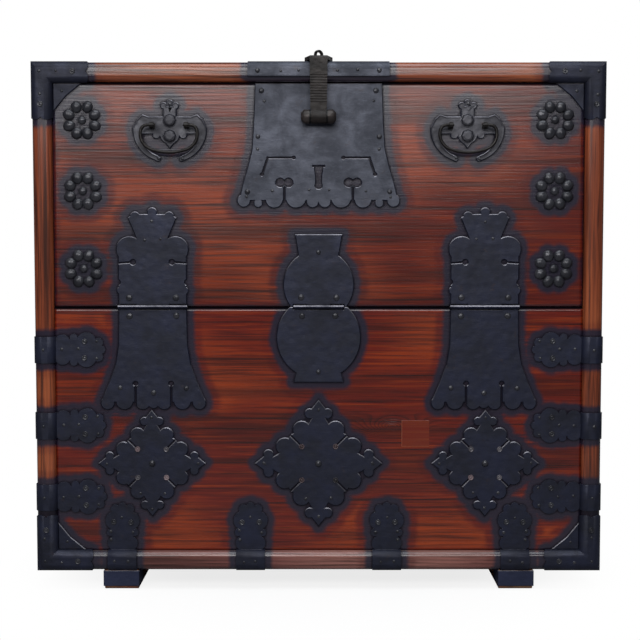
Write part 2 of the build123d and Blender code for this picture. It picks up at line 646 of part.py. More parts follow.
# Barrel of the hasp: two domed knobs fixed to the door either side.
knob_in = HASP_KNUCKLE_LONG / 2 + PLAY
knob = x_rod(knob_in, knob_in + HASP_KNOB_LONG, HASP_Y, HASP_Z, HASP_BARREL_R)
knob = chamfer(knob.faces().sort_by(Axis.X)[-1].edges(), KNOB_DOME)
knob -= x_rod(0, knob_in + 7, HASP_Y, HASP_Z, HASP_PIN_R)
lug = block(knob_in + 2, knob_in + 10, HASP_Y, PLATE_Y, HASP_Z - 6, HASP_Z + 6)
lug -= x_rod(0, knob_in + 7, HASP_Y, HASP_Z, HASP_PIN_R)
knob += lug
parts["hasp_knobs"] = group(knob, other_side(knob))
parts["hasp_pin"] = x_rod(-knob_in - 7, knob_in + 7, HASP_Y, HASP_Z, HASP_PIN_R)

# Hasp: reeded bar up the front, bent back over the top, slotted at its end.
bar_back = NOSE_Y - IRON - HASP_PLAY
bar_front = bar_back - HASP_THICK
crown_low = TOP_Z + IRON + HASP_PLAY
crown_top = crown_low + CROWN_THICK
bar_outline = outline(
    (-HASP_WIDE / 2, crown_top), (HASP_WIDE / 2, crown_top),
    (HASP_WIDE / 2 - 1.5, HASP_Z), (1.5 - HASP_WIDE / 2, HASP_Z))
hasp = on_front(bar_outline, 0, 0, HASP_THICK, y=bar_back)
for step in range(REEDS):
    reed_z = HASP_Z + REED_START + step * REED_PITCH
    hasp -= x_rod(-20, 20, bar_front - 0.3, reed_z, REED_R)
hasp -= block(-20, -HASP_KNUCKLE_LONG / 2, -400, 0, HASP_Z - 20, HASP_Z + HASP_BARREL_R + 1)
hasp -= block(HASP_KNUCKLE_LONG / 2, 20, -400, 0, HASP_Z - 20, HASP_Z + HASP_BARREL_R + 1)
hasp += x_rod(-HASP_KNUCKLE_LONG / 2, HASP_KNUCKLE_LONG / 2, HASP_Y, HASP_Z, HASP_BARREL_R)
crown_end = FACE_Y + CROWN_REACH
crown = mirrored_outline(
    (0, crown_end - 4), (CROWN_WIDE / 2, crown_end - 14), (CROWN_WIDE / 2, FACE_Y + 8),
    (HASP_WIDE / 2, bar_back), (HASP_WIDE / 2, bar_front),
)
crown += circles((11, crown_end - 11, 11), (-11, crown_end - 11, 11))
slot_long = SLOT_END - SLOT_START
slot = Pos(0, FACE_Y + (SLOT_START + SLOT_END) / 2) * Rectangle(SLOT_WIDE, slot_long)
crown -= slot
hasp += on_top(crown, 0, 0, CROWN_THICK, z=crown_low)
bend = hasp.edges().filter_by(Axis.X).filter_by(
    lambda e: abs(e.center().Y - bar_front) < 0.1 and abs(e.center().Z - crown_top) < 0.1
)
hasp = fillet(bend, HASP_BEND_R)
hasp -= x_rod(-20, 20, HASP_Y, HASP_Z, HASP_PIN_R + PIN_PLAY)
parts["hasp_bar"] = hasp

# Rosettes: eight round nail heads round a smaller one.
ball = forged_nail(ROSETTE_BALL_R, ROSETTE_BALL_HIGH, SHANK_LONG)
middle = forged_nail(ROSETTE_MIDDLE_R, ROSETTE_BALL_HIGH - 1, SHANK_LONG)
heads = []
for z in (ROSETTE_LOW, ROSETTE_MIDDLE, ROSETTE_TOP):
    heads.append(Pos(ROSETTE_X, FACE_Y, z) * middle)
    for step in range(8):
        turn = radians(22.5 + 45 * step)
        x = ROSETTE_X + ROSETTE_RING * cos(turn)
        heads.append(Pos(x, FACE_Y, z + ROSETTE_RING * sin(turn)) * ball)
parts["right_rosettes"] = group(*heads)
parts["left_rosettes"] = group(*(other_side(head) for head in heads))


# ------------------------------------------------------- carrying handles
def post(out, r, hole_r, seat, x, z):
    """An eye post on the front: a square neck and an eight-sided eye bored along X."""
    eye_rod = extrude(Plane.YZ * RegularPolygon(r, 8), amount=r * 0.7, both=True)
    shape = Pos(x, seat - out, z) * eye_rod
    shape += block(x - 0.4 * r, x + 0.4 * r, seat - out, seat, z - 0.4 * r, z + 0.4 * r)
    shape += block(x - 0.9 * r, x + 0.9 * r, seat - 1.4, seat, z - 0.9 * r, z + 0.9 * r)
    return shape - x_rod(x - 2 * r, x + 2 * r, seat - out, z, hole_r)


def bail(straight, shoulder_r, side_r, hold, r, tenon_r, post_r):
    """A bail hanging in the XZ plane from an axis along X through its tenons."""
    start = hold + post_r + 1.2
    lead = Line((start, 0), (straight, 0))
    shoulder = JernArc(lead @ 1, (1, 0), shoulder_r, -75)
    side = JernArc(shoulder @ 1, shoulder % 1, side_r, -85)
    low = JernArc(side @ 1, side % 1, (side @ 1).X / sin(radians(20)), -20)
    path = Rot(90, 0, 0) * (Curve() + [lead, shoulder, side, low])
    plane = Plane(origin=path @ 0, z_dir=path % 0)
    wire = sweep(plane * RegularPolygon(r, 8), path=path)
    wire += x_rod(hold - post_r, start + 0.5, 0, 0, tenon_r)
    return wire + mirror(wire, about=Plane.YZ)


# Handle plates: a bat with a crest and two curved claws. Heights from the swing axis.
k = (BAT_HALF / 58.5, BAT_HALF / 58.5)
bat = lobes(k, (7, -5, 51.5))
bat &= drawn(k, (33, 14.5), (43, 18), (51, 11), (60, -6), (60, -60))
bat -= lobes(k, (8, -12, 36)) & drawn(k, (60, -13), (60, -60))
bat -= drawn(k, (18.5, -40), (18.5, -60))
bat += lobes(k, (18.5, -51.8, 4.4), (21, -14, 6.5), (0, -1, 17), (0, -13, 16))
bat += drawn(k, (11, 31), (11, 5), (15, -17), (0, -36))
bat += lobes(k, (0, 36, 5.5), (9.5, 31.5, 5.5))
bat_plate = on_front(bat, HANDLE_X, HANDLE_Z, IRON)
for boss_z, high in ((8.5, 4.0), (-16, 4.5)):
    boss = forged_nail(9.0, high, IRON - 0.2)
    bat_plate += Pos(HANDLE_X, PLATE_Y, HANDLE_Z + boss_z) * boss
parts["handle_plates"] = group(bat_plate, other_side(bat_plate))
posts = []
for x in (HANDLE_X - HANDLE_HALF, HANDLE_X + HANDLE_HALF):
    item = post(HANDLE_OUT, POST_R, BAIL_TENON_R + PIN_PLAY, PLATE_Y, x, HANDLE_Z)
    posts += [item, other_side(item)]
parts["handle_posts"] = group(*posts)
front_bail = bail(
    BAIL_STRAIGHT, BAIL_SHOULDER_R, BAIL_SIDE_R, HANDLE_HALF, BAIL_R, BAIL_TENON_R, POST_R
)
front_bail = Pos(HANDLE_X, PLATE_Y - HANDLE_OUT, HANDLE_Z) * front_bail
parts["right_bail"] = front_bail
parts["left_bail"] = other_side(front_bail)

# Side handles: plain bails in eye posts on the side boards.
side_bail = bail(
    SIDE_STRAIGHT, SIDE_SHOULDER_R, SIDE_SIDE_R, SIDE_HANDLE_HALF, SIDE_BAIL_R, SIDE_TENON_R,
    SIDE_POST_R,
)
side_posts = []
for x in (-SIDE_HANDLE_HALF, SIDE_HANDLE_HALF):
    side_posts.append(post(SIDE_HANDLE_OUT, SIDE_POST_R, SIDE_TENON_R + PIN_PLAY, 0, x, 0))
to_right = Pos(WIDTH / 2, 0, BASE_Z + SIDE_HANDLE_Z) * Rot(0, 0, 90)
right_posts = [to_right * item for item in side_posts]
parts["side_handle_posts"] = group(*right_posts, *(other_side(item) for item in right_posts))
parts["right_side_bail"] = to_right * (Pos(0, -SIDE_HANDLE_OUT, 0) * side_bail)
parts["left_side_bail"] = other_side(parts["right_side_bail"])

parts["carcass_nails"] = group(*carcass_nails)
parts["door_nails"] = group(*door_nails)

os.makedirs("parts", exist_ok=True)
for name, shape in parts.items():
    export_step(shape, f"parts/{name}.step")
print(len(parts), "pieces")
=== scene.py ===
import random
from math import atan2, copysign, cos, pi, radians, sin

import bmesh
import bpy
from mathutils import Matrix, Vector
from mathutils.bvhtree import BVHTree


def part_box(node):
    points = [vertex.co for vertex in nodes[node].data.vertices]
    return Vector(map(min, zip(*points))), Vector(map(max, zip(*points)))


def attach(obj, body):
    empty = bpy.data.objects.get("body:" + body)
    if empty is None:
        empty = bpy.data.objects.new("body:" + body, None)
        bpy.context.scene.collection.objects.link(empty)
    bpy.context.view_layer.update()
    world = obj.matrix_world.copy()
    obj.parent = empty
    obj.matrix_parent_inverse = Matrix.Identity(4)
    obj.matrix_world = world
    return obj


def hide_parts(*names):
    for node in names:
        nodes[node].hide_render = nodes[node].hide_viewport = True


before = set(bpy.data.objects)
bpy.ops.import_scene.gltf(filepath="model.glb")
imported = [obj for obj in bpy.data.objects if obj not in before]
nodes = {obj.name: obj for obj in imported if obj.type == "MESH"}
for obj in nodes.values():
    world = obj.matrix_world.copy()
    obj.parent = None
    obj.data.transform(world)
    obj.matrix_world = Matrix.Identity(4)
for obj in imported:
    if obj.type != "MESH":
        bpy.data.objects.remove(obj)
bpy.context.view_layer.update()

# ------------------------------------------------------------------------ frame boards
# Side, top and bottom boards of the chest: thick pine planks joined at the corners,
# their front edges rounded, rubbed with ink and oil until they turned red-brown.
# Smoke and oil have blackened the wood for a finger's width round every iron plate.

# The boards are cut into squares of this size, so that the halos have corners to lie on.
BOARD_STEP = 0.008
BOARD_EDGE = 0.0010
SAME_POINT = 1e-5
SAME_PLANE = radians(1)
SHARP_CORNER = radians(40)
SMOOTH_BEND = radians(35)


def new_piece(name, mesh, *finishes):
    """Puts a mesh into the scene as a piece with its finishes."""
    piece = bpy.data.objects.new(name, mesh)
    bpy.context.scene.collection.objects.link(piece)
    for finish in finishes:
        mesh.materials.append(finish.material)
    return piece


def smooth_mesh(name, work, bend):
    """Makes a mesh of the work, smooth where its faces meet at less than the bend."""
    mesh = bpy.data.meshes.new(name)
    work.to_mesh(mesh)
    work.free()
    for face in mesh.polygons:
        face.use_smooth = True
    mesh.set_sharp_from_angle(angle=bend)
    return mesh


def planed_board(name, wood, step, edge):
    """A copy of a board, cut into small squares, with its sharp edges worn soft."""
    work = bmesh.new()
    work.from_mesh(nodes[name].data)
    bmesh.ops.remove_doubles(work, verts=work.verts, dist=SAME_POINT)
    bmesh.ops.dissolve_limit(work, angle_limit=SAME_PLANE, verts=work.verts, edges=work.edges)
    sharp = [e for e in work.edges if len(e.link_faces) == 2 and e.calc_face_angle() > SHARP_CORNER]
    bmesh.ops.bevel(work, geom=sharp, offset=edge, segments=2, affect="EDGES", clamp_overlap=True)
    low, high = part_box(name)
    for axis in range(3):
        normal = Vector((0, 0, 0))
        normal[axis] = 1
        for cut in range(1, int((high[axis] - low[axis]) / step)):
            place = low.copy()
            place[axis] += cut * step
            everything = work.verts[:] + work.edges[:] + work.faces[:]
            bmesh.ops.bisect_plane(work, geom=everything, plane_co=place, plane_no=normal)
    return new_piece(name + "_planed", smooth_mesh(name + "_planed", work, SMOOTH_BEND), wood)


# Soot reaches this far from the iron. Along a panel's rim, by the frame, painted shade starts thinner and
# ends sooner.
SOOT_REACH = 0.030
RIM_GAP = 0.010
RIM_SPREAD = 1.3
PLATES = (
    "side_straps", "bottom_straps", "corner_irons", "top_edge_plate", "foot_shoes",
    "diamond_plates", "centre_hinge_lower_leaf", "centre_hinge_upper_leaf",
    "side_hinge_lower_leaves", "side_hinge_upper_leaves", "lock_plate", "handle_plates",
    "door_corner_plates", "panel_corner_plates", "side_handle_posts",
    "left_rosettes", "right_rosettes",
)


def surface_of(names):
    """One search tree over the iron that lies on the wood."""
    corners, faces = [], []
    for name in names:
        mesh = nodes[name].data
        start = len(corners)
        corners += [v.co.copy() for v in mesh.vertices]
        faces += [[start + i for i in face.vertices] for face in mesh.polygons]
    return BVHTree.FromPolygons(corners, faces)


iron_surface = surface_of(PLATES)


def blacken(board, rim=None):
    """Notes on every corner of the mesh how near it is to the iron and to the rim, 0 to 1: the soot halos
    and the painted shade follow it.
    """
    soot_and_shade = board.data.attributes.new("soot_and_shade", "FLOAT", "POINT")
    for index, vertex in enumerate(board.data.vertices):
        found = iron_surface.find_nearest(vertex.co, SOOT_REACH)
        gap = found[3] if found[3] is not None else SOOT_REACH
        if rim is not None:
            low, high = rim
            side = min(vertex.co.x - low.x, high.x - vertex.co.x)
            end = min(vertex.co.z - low.z, high.z - vertex.co.z)
            # Along the rim the wood is darkened with painted shade, as in the recess by the frame.
            gap = min(gap, RIM_GAP + max(0.0, min(side, end)) * RIM_SPREAD)
        soot_and_shade.data[index].value = 1.0 - gap / SOOT_REACH


class Recipe:
    """What a finish or a backdrop is mixed from: each step adds one shader node and links it."""

    def __init__(self, tree):
        self.tree = tree

    def feed(self, socket, value):
        """Gives a socket a number, a place or a colour, or leads a pattern to it."""
        if isinstance(value, bpy.types.NodeSocket):
            self.tree.links.new(value, socket)
        elif socket.type == "RGBA":
            socket.default_value = (*value, 1.0)
        else:
            socket.default_value = value

    def step(self, kind, feeds=None, **settings):
        """Adds one node, sets it up, feeds its sockets and hands on what comes out."""
        node = self.tree.nodes.new("ShaderNode" + kind)
        for name, value in settings.items():
            setattr(node, name, value)
        for socket, value in (feeds or {}).items():
            self.feed(node.inputs[socket], value)
        return node.outputs

    def cloud(self, place, scale=1.0, detail=3.0, rough=0.5, twist=0.0):
        """Soft random grey, about 0 to 1."""
        feeds = {"Vector": place, "Scale": scale, "Detail": detail, "Roughness": rough, "Distortion": twist}
        return self.step("TexNoise", feeds)["Fac"]

    def sums(self, kind, first, second=0.0):
        """One step of arithmetic between patterns or plain numbers."""
        return self.step("Math", {0: first, 1: second}, operation=kind)["Value"]

    def times(self, first, second):
        """One pattern held back by another, or by a plain share."""
        return self.sums("MULTIPLY", first, second)

    def heap(self, *shares):
        """Adds up patterns, each by its share."""
        total = None
        for pattern, share in shares:
            part = pattern if share == 1.0 else self.times(pattern, share)
            total = part if total is None else self.sums("ADD", total, part)
        return total

    def fade(self, pattern, low, high, start=0.0, end=1.0):
        """Eases from start to end while a pattern goes from low to high."""
        feeds = {"Value": pattern, "From Min": low, "From Max": high, "To Min": start, "To Max": end}
        return self.step("MapRange", feeds, interpolation_type="SMOOTHSTEP")["Result"]

    def tint(self, amount, under, over):
        """Lays one colour over another by a pattern's strength."""
        return self.step("Mix", {0: amount, 6: under, 7: over}, data_type="RGBA")[2]

    def split(self, place):
        """The three parts of a place or a direction, by the names X, Y and Z."""
        return self.step("SeparateXYZ", {"Vector": place})


class Finish(Recipe):
    """A material in the making, with its shader and the piece's own coordinates."""

    def __init__(self, name, roughness=0.5, specular=0.5, metal=0.0):
        self.material = bpy.data.materials.new(name)
        self.material.use_nodes = True
        super().__init__(self.material.node_tree)
        self.shader = self.tree.nodes["Principled BSDF"]
        self.place = self.step("TexCoord")["Object"]
        self.give("Roughness", roughness)
        self.give("Specular IOR Level", specular)
        self.give("Metallic", metal)

    def give(self, name, value):
        """Feeds one socket of the shader with a plain value or a pattern."""
        self.feed(self.shader.inputs[name], value)

    def paint(self, colour, *layers):
        """Colours the shader: a ground and the (amount, colour) layers over it, from the first up."""
        for amount, over in layers:
            colour = self.tint(amount, colour, over)
        self.colour = colour
        self.give("Base Color", colour)

    def stretched(self, scale, shift=(0, 0, 0)):
        """The piece's own coordinates, drawn out along each axis and moved."""
        return self.step("Mapping", {"Vector": self.place, "Scale": scale, "Location": shift})["Vector"]

    def relief(self, height, distance):
        """Raises the surface by a pattern that stands for a real height."""
        self.give("Normal", self.step("Bump", {"Height": height, "Distance": distance})["Normal"])


# Each kind of grain has its marks per metre across the board and along it.
FIBRE = (360.0, 11.0)
STREAKS = (190.0, 4.0)
BANDS = (42.0, 2.2)
PATCHES = (6.0, 3.0)
RING_BEND = (8.0, 1.3)
RING_STRENGTH = (14.0, 2.0)
RINGS_PER_METRE = 150.0
RINGS_BENT = 9.0
# For each way the grain can run: how steeply the rings cross the board along X, Y and Z.
RING_SLANT = {"x": (0.0, 0.45, 1.0), "y": (0.6, 0.0, 1.0), "z": (1.0, 0.45, 0.0)}
KNOT_REACH = (0.085, 0.060, 0.030)
KNOT_RINGS = 11.0
KNOT_STRENGTH = 0.9
SEED_SHIFT = (1.0, 0.7, 1.3)
# Each fade says where its pattern starts and is full and, if not 0 and 1, how strong it is there.
RING_RISE = (0.30, 0.88)
RING_DROP = (0.90, 1.0, 1.0, 0.0)
RING_SHOWS = (0.34, 0.80, 0.04, 0.62)


def growth_rings(wood, along, lengthwise, seed, knot):
    """Dark late-wood lines, crowded round a knot where the board has one."""
    slant = [share * RINGS_PER_METRE for share in RING_SLANT[lengthwise]]
    depth = wood.step("VectorMath", {0: wood.place, 1: slant}, operation="DOT_PRODUCT")["Value"]
    bend = wood.cloud(along(RING_BEND, [seed * share for share in SEED_SHIFT]), detail=2.5, rough=0.55)
    ring_count = wood.heap((depth, 1.0), (bend, RINGS_BENT))
    strength = wood.cloud(along(RING_STRENGTH, (seed, 0, 0)), detail=2.0, rough=0.6)
    if knot is not None:
        shares = [1 / reach for reach in KNOT_REACH]
        centred = wood.stretched(shares, [-middle * share for middle, share in zip(knot, shares)])
        swell = wood.step("TexGradient", {"Vector": centred}, gradient_type="QUADRATIC_SPHERE")["Fac"]
        ring_count = wood.heap((ring_count, 1.0), (swell, KNOT_RINGS))
        strength = wood.heap((strength, 1.0), (swell, KNOT_STRENGTH))
    ring = wood.sums("FRACT", ring_count)
    line = wood.times(wood.fade(ring, *RING_RISE), wood.fade(ring, *RING_DROP))
    return wood.times(line, wood.fade(strength, *RING_SHOWS))


MID_GREY = 0.5
HALO_EDGE = (0.47, 0.76)
HALO_DEPTH = 0.95
HALO_FLECKS = 34.0
RAGGED_FLECKS = 0.24
RAGGED_STREAKS = 0.12
RUBBED_PATCHES = (0.40, 0.66)
OFF_THE_HALO = (0.05, 0.42, 1.0, 0.0)
PALE_FIBRES = (0.30, 0.46, 0.45, 0.0)
PALE_STREAKS = (0.30, 0.47, 0.55, 0.0)
DARK_BANDS = (0.46, 0.74, 0.0, 0.70)
DARK_STREAKS = (0.53, 0.72, 0.0, 0.85)
PORES = (0.50, 0.70, 0.0, 0.70)
# Painted shade: the near-black laid on the wood right against the iron, and where it starts.
PAINTED_CREVICE_SHADE = (0.0030, 0.0028, 0.0042)
CREVICE_SHADE_EDGE = (0.85, 1.0, 0.0, 0.62)
PATCH_SPREAD = (0.3, 0.7)
# Dust on upward frame faces, painted seam shade on upward panel faces: how far they face up, its colour,
# and how thickly it lies.
DUSTY = {"upward": (0.90, 0.99), "colour": (0.210, 0.150, 0.120), "cover": (0.10, 0.30)}
SEAM_SHADE = {"upward": (0.15, 0.60), "colour": PAINTED_CREVICE_SHADE, "cover": (0.95, 1.00)}
POLISH = (0.18, 0.25)
FIBRE_DULLS = 0.09
UPWARD_DULLS = 0.38
NOSE_DEPTH = 0.024
NOSE_FADE = 0.010
NOSE_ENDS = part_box("top_board")[0].y + NOSE_DEPTH
SCUFFED_CORNERS = (0.93, 0.995, 0.9, 0.0)
GLOSS_LEFT = (0.50, 0.0)
WOOD_BUMPS = 11.0
WOOD_RELIEF = 0.00032


def oiled_wood(name, lengthwise, dark, body, warm, soot_and_shade, seed, knot=None, top=DUSTY):
    """Old oiled pine: growth rings, fibres, pores, worn warm patches and black halos, with painted shade
    right against the iron, along a panel's rim and, where asked, on upward seam faces.
    """
    wood = Finish(name)

    def along(grain, shift):
        scale = [grain[0]] * 3
        scale["xyz".index(lengthwise)] = grain[1]
        return wood.stretched(scale, shift)

    late_wood = growth_rings(wood, along, lengthwise, seed, knot)
    fibre = wood.cloud(along(FIBRE, (0, 0, seed)), detail=4.0, rough=0.62)
    streaks = wood.cloud(along(STREAKS, (seed, 0, seed)), detail=2.5, rough=0.55)
    bands = wood.cloud(along(BANDS, (seed, 0, 0)), rough=0.6)
    patches = wood.cloud(along(PATCHES, (0, seed, 0)), detail=2.0)

    iron_near = wood.step("Attribute", attribute_name="soot_and_shade")["Fac"]
    flecks = wood.sums("SUBTRACT", wood.cloud(wood.place, HALO_FLECKS, rough=0.6), MID_GREY)
    frayed = wood.sums("SUBTRACT", streaks, MID_GREY)
    ragged = wood.heap((flecks, RAGGED_FLECKS), (frayed, RAGGED_STREAKS))
    nearness = wood.sums("ADD", iron_near, ragged)
    # Right against the iron the wood is darkened with painted shade.
    crevice_shade = wood.fade(iron_near, *CREVICE_SHADE_EDGE)

    facing = wood.split(wood.step("NewGeometry")["Normal"])
    # Upward faces get dust on the frame boards and painted seam shade on the panel and door.
    upward = wood.fade(facing["Z"], *top["upward"])
    dust_and_seam_shade = wood.times(upward, wood.fade(patches, *PATCH_SPREAD, *top["cover"]))

    rubbed = wood.times(wood.fade(patches, *RUBBED_PATCHES), wood.fade(nearness, *OFF_THE_HALO))
    pale_fibres = wood.fade(fibre, *PALE_FIBRES)
    pale_streaks = wood.fade(streaks, *PALE_STREAKS)
    dark_bands = wood.fade(bands, *DARK_BANDS)
    dark_streaks = wood.fade(streaks, *DARK_STREAKS)
    pores = wood.fade(fibre, *PORES)
    # The halos are soot round the iron and, at a panel's rim, painted shade.
    halo = wood.times(wood.fade(nearness, *HALO_EDGE), HALO_DEPTH)
    wood.paint(
        body, (rubbed, warm), (pale_fibres, warm), (pale_streaks, warm), (dark_bands, dark),
        (late_wood, dark), (dark_streaks, dark), (pores, dark), (halo, soot_and_shade), (crevice_shade, PAINTED_CREVICE_SHADE),
        (dust_and_seam_shade, top["colour"]),
    )
    polish = wood.fade(patches, *PATCH_SPREAD, *POLISH)
    wood.give("Roughness", wood.heap((polish, 1.0), (fibre, FIBRE_DULLS), (upward, UPWARD_DULLS)))

    # The wood has less gloss in the painted crevice and seam shade and on the scuffed corners behind the
    # nose.
    level = [wood.sums("ABSOLUTE", facing[axis]) for axis in "XYZ"]
    squarest = wood.sums("MAXIMUM", level[0], wood.sums("MAXIMUM", level[1], level[2]))
    behind = wood.fade(wood.split(wood.place)["Y"], NOSE_ENDS, NOSE_ENDS + NOSE_FADE)
    scuffed = wood.times(wood.fade(squarest, *SCUFFED_CORNERS), behind)
    dull = wood.sums("MAXIMUM", wood.sums("MAXIMUM", crevice_shade, scuffed), upward if top is SEAM_SHADE else 0.0)
    wood.give("Specular IOR Level", wood.fade(dull, 0.0, 1.0, *GLOSS_LEFT))

    bumps = wood.cloud(wood.place, WOOD_BUMPS, detail=2.0)
    wood.relief(wood.heap((fibre, 0.55), (late_wood, -0.35), (streaks, -0.2), (bumps, 0.9)), WOOD_RELIEF)
    return wood


# The halos' blue-black: soot round the iron, painted shade along a panel's rim.
SOOT_AND_SHADE = (0.0100, 0.0104, 0.0225)
FRAME_DARK = (0.026, 0.0070, 0.0040)
FRAME_BODY = (0.170, 0.0370, 0.0145)
FRAME_WARM = (0.300, 0.0790, 0.0270)
LOW_BODY = (0.142, 0.0460, 0.0400)
LOW_WARM = (0.255, 0.1060, 0.0860)
upright_wood = oiled_wood("upright_frame_wood", "z", FRAME_DARK, FRAME_BODY, FRAME_WARM, SOOT_AND_SHADE, seed=3.1)
level_wood = oiled_wood("level_frame_wood", "x", FRAME_DARK, FRAME_BODY, FRAME_WARM, SOOT_AND_SHADE, seed=7.4)
low_wood = oiled_wood("low_frame_wood", "x", FRAME_DARK, LOW_BODY, LOW_WARM, SOOT_AND_SHADE, seed=9.2)
for board_name, wood in (
    ("left_side_board", upright_wood),
    ("right_side_board", upright_wood),
    ("top_board", level_wood),
    ("bottom_board", low_wood),
):
    board = planed_board(board_name, wood, BOARD_STEP, BOARD_EDGE)
    blacken(board)
    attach(board, "carcass")
    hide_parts(board_name)

# ------------------------------------------------------- back, feet, battens and stops
# The back is three plain pine boards let into the frame. Pine battens stiffen the door
# from inside, strips in the opening stop it, and the chest stands on two pine runners.
# None of this was oiled, so it has only gone brown with age.
PINE_DARK = (0.070, 0.032, 0.014)
PINE_BODY = (0.215, 0.115, 0.055)
PINE_WARM = (0.300, 0.170, 0.085)
WORN_EDGE = 0.0008


def soften(node, width, bend=SMOOTH_BEND, edge_finish=-1):
    """Wears the sharp edges of a piece that keeps its own mesh."""
    weld = node.modifiers.new("weld", "WELD")
    weld.merge_threshold = SAME_POINT
    flat = node.modifiers.new("flat", "DECIMATE")
    flat.decimate_type = "DISSOLVE"
    flat.angle_limit = SAME_PLANE
    edge = node.modifiers.new("edge", "BEVEL")
    edge.width = width
    edge.segments = 2
    edge.limit_method = "ANGLE"
    edge.angle_limit = bend
    edge.harden_normals = True
    edge.material = edge_finish


def finish_with(node, *finishes):
    """Takes a node's plain finish off and gives it others."""
    node.data.materials.clear()
    for finish in finishes:
        node.data.materials.append(finish.material)


plain_pine = oiled_wood("plain_pine", "x", PINE_DARK, PINE_BODY, PINE_WARM, PINE_DARK, seed=1.7)
foot_pine = oiled_wood("foot_pine", "y", PINE_DARK, FRAME_BODY, PINE_BODY, PINE_DARK, seed=5.2)
upright_pine = oiled_wood("upright_pine", "z", PINE_DARK, PINE_BODY, PINE_WARM, PINE_DARK, seed=2.6)
for node_name, pine in (
    ("back_board_lower", plain_pine), ("back_board_middle", plain_pine),
    ("back_board_upper", plain_pine), ("door_stops", plain_pine),
    ("left_foot_runner", foot_pine), ("right_foot_runner", foot_pine),
    ("left_door_batten", upright_pine), ("right_door_batten", upright_pine),
):
    finish_with(nodes[node_name], pine)
    soften(nodes[node_name], WORN_EDGE)

# ------------------------------------------------------------------------- bamboo pegs
# Pegs of split bamboo are driven through the corner fingers to pin them. Their cut
# ends show the fibres as dark dots and stand a hair proud of the boards.
BAMBOO_PALE = (0.46, 0.30, 0.14)
BAMBOO_FIBRE = (0.20, 0.11, 0.045)
BAMBOO_DOTS = 900.0
DOT_EDGE = (0.5, 0.62)
DOT_DULLS = (0.3, 0.7, 0.42, 0.65)
BAMBOO_RELIEF = 0.0003
bamboo = Finish("split_bamboo")
dots = bamboo.cloud(bamboo.place, BAMBOO_DOTS, detail=2.0, rough=0.7)
bamboo.paint(BAMBOO_PALE, (bamboo.fade(dots, *DOT_EDGE), BAMBOO_FIBRE))
bamboo.give("Roughness", bamboo.fade(dots, *DOT_DULLS))
bamboo.relief(dots, BAMBOO_RELIEF)
finish_with(nodes["bamboo_pegs"], bamboo)

# ---------------------------------------------------------- lower panel and door board
# The two halves of the front: wide pine boards with the grain lying level, oiled dark
# and rubbed brighter where hands and cloths reach between the plates. A knot lies in
# the lower panel. Their upper edges, the seam and the rim by the frame are darkened
# with painted shade.
PANEL_STEP = 0.005
PANEL_EDGE = 0.0004
PANEL_DARK = (0.022, 0.0038, 0.0028)
PANEL_BODY = (0.110, 0.0085, 0.0038)
PANEL_WARM = (0.255, 0.0350, 0.0045)
DOOR_BODY = (0.084, 0.0070, 0.0036)
DOOR_WARM = (0.205, 0.0280, 0.0042)
KNOT_PLACE = (0.118, -0.2, 0.262)
panel_wood = oiled_wood(
    "panel_wood", "x", PANEL_DARK, PANEL_BODY, PANEL_WARM, SOOT_AND_SHADE, seed=0.4, knot=KNOT_PLACE, top=SEAM_SHADE
)
door_wood = oiled_wood("door_wood", "x", PANEL_DARK, DOOR_BODY, DOOR_WARM, SOOT_AND_SHADE, seed=11.9, top=SEAM_SHADE)
for board_name, body, wood in (
    ("lower_front_panel", "carcass", panel_wood),
    ("door_board", "door", door_wood),
):
    board = planed_board(board_name, wood, PANEL_STEP, PANEL_EDGE)
    blacken(board, rim=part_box(board_name))
    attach(board, body)
    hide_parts(board_name)

# ------------------------------------------------------------------------- repair plug
# A square plug of pine glued into the lower panel to mend a knot hole. It has stayed
# paler than the board, and its glue line shows along two sides.
PLUG_LOW = (0.1325, 0.2300)
PLUG_HIGH = (0.1765, 0.2720)
PLUG_PROUD = 0.00012
PLUG_SLOPE = 0.0006
PLUG_BODY = (0.125, 0.0170, 0.0055)
PLUG_WARM = (0.200, 0.0380, 0.0080)
GLUE_LINE = (0.230, 0.0700, 0.0260)
GLUE_SPOTS = 300.0
GLUE_SPOT_EDGE = (0.35, 0.65)
GLUE_RELIEF = 0.0002
plug_wood = oiled_wood("plug_wood", "x", PANEL_BODY, PLUG_BODY, PLUG_WARM, SOOT_AND_SHADE, seed=6.6)
glue = Finish("old_glue", roughness=0.45, specular=0.4)
spots = glue.cloud(glue.place, GLUE_SPOTS, rough=0.6)
glue.paint(PLUG_WARM, (glue.fade(spots, *GLUE_SPOT_EDGE), GLUE_LINE))
glue.relief(spots, GLUE_RELIEF)
face_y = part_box("lower_front_panel")[0].y
corners = []
for y, inset in ((face_y, 0.0), (face_y - PLUG_PROUD, PLUG_SLOPE)):
    left, right = PLUG_LOW[0] + inset, PLUG_HIGH[0] - inset
    low, high = PLUG_LOW[1] + inset, PLUG_HIGH[1] - inset
    corners += [(left, y, low), (right, y, low), (right, y, high), (left, y, high)]
PLUG_FACE = (4, 5, 6, 7)
PLUG_SIDES = ((0, 1, 5, 4), (1, 2, 6, 5), (2, 3, 7, 6), (3, 0, 4, 7))
GLUED_SIDES = (0, 3)
mesh = bpy.data.meshes.new("repair_plug")
mesh.from_pydata(corners, [], [PLUG_FACE, *PLUG_SIDES])
mesh.update()
for side in GLUED_SIDES:
    mesh.polygons[1 + side].material_index = 1
plug = new_piece("repair_plug", mesh, plug_wood, glue)
blacken(plug)
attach(plug, "carcass")

# ------------------------------------------------------------- straps and corner irons
# Strips of thin iron, hammered flat by hand and blackened in a smoky fire with oil,
# then bent over the edges of the chest and nailed down on both faces. Their rounded
# edges carry a painted highlight where they face up.
IRON_DARK = (0.0065, 0.0078, 0.0165)
IRON_PALE = (0.0140, 0.0172, 0.0390)
IRON_RUST = (0.034, 0.020, 0.015)
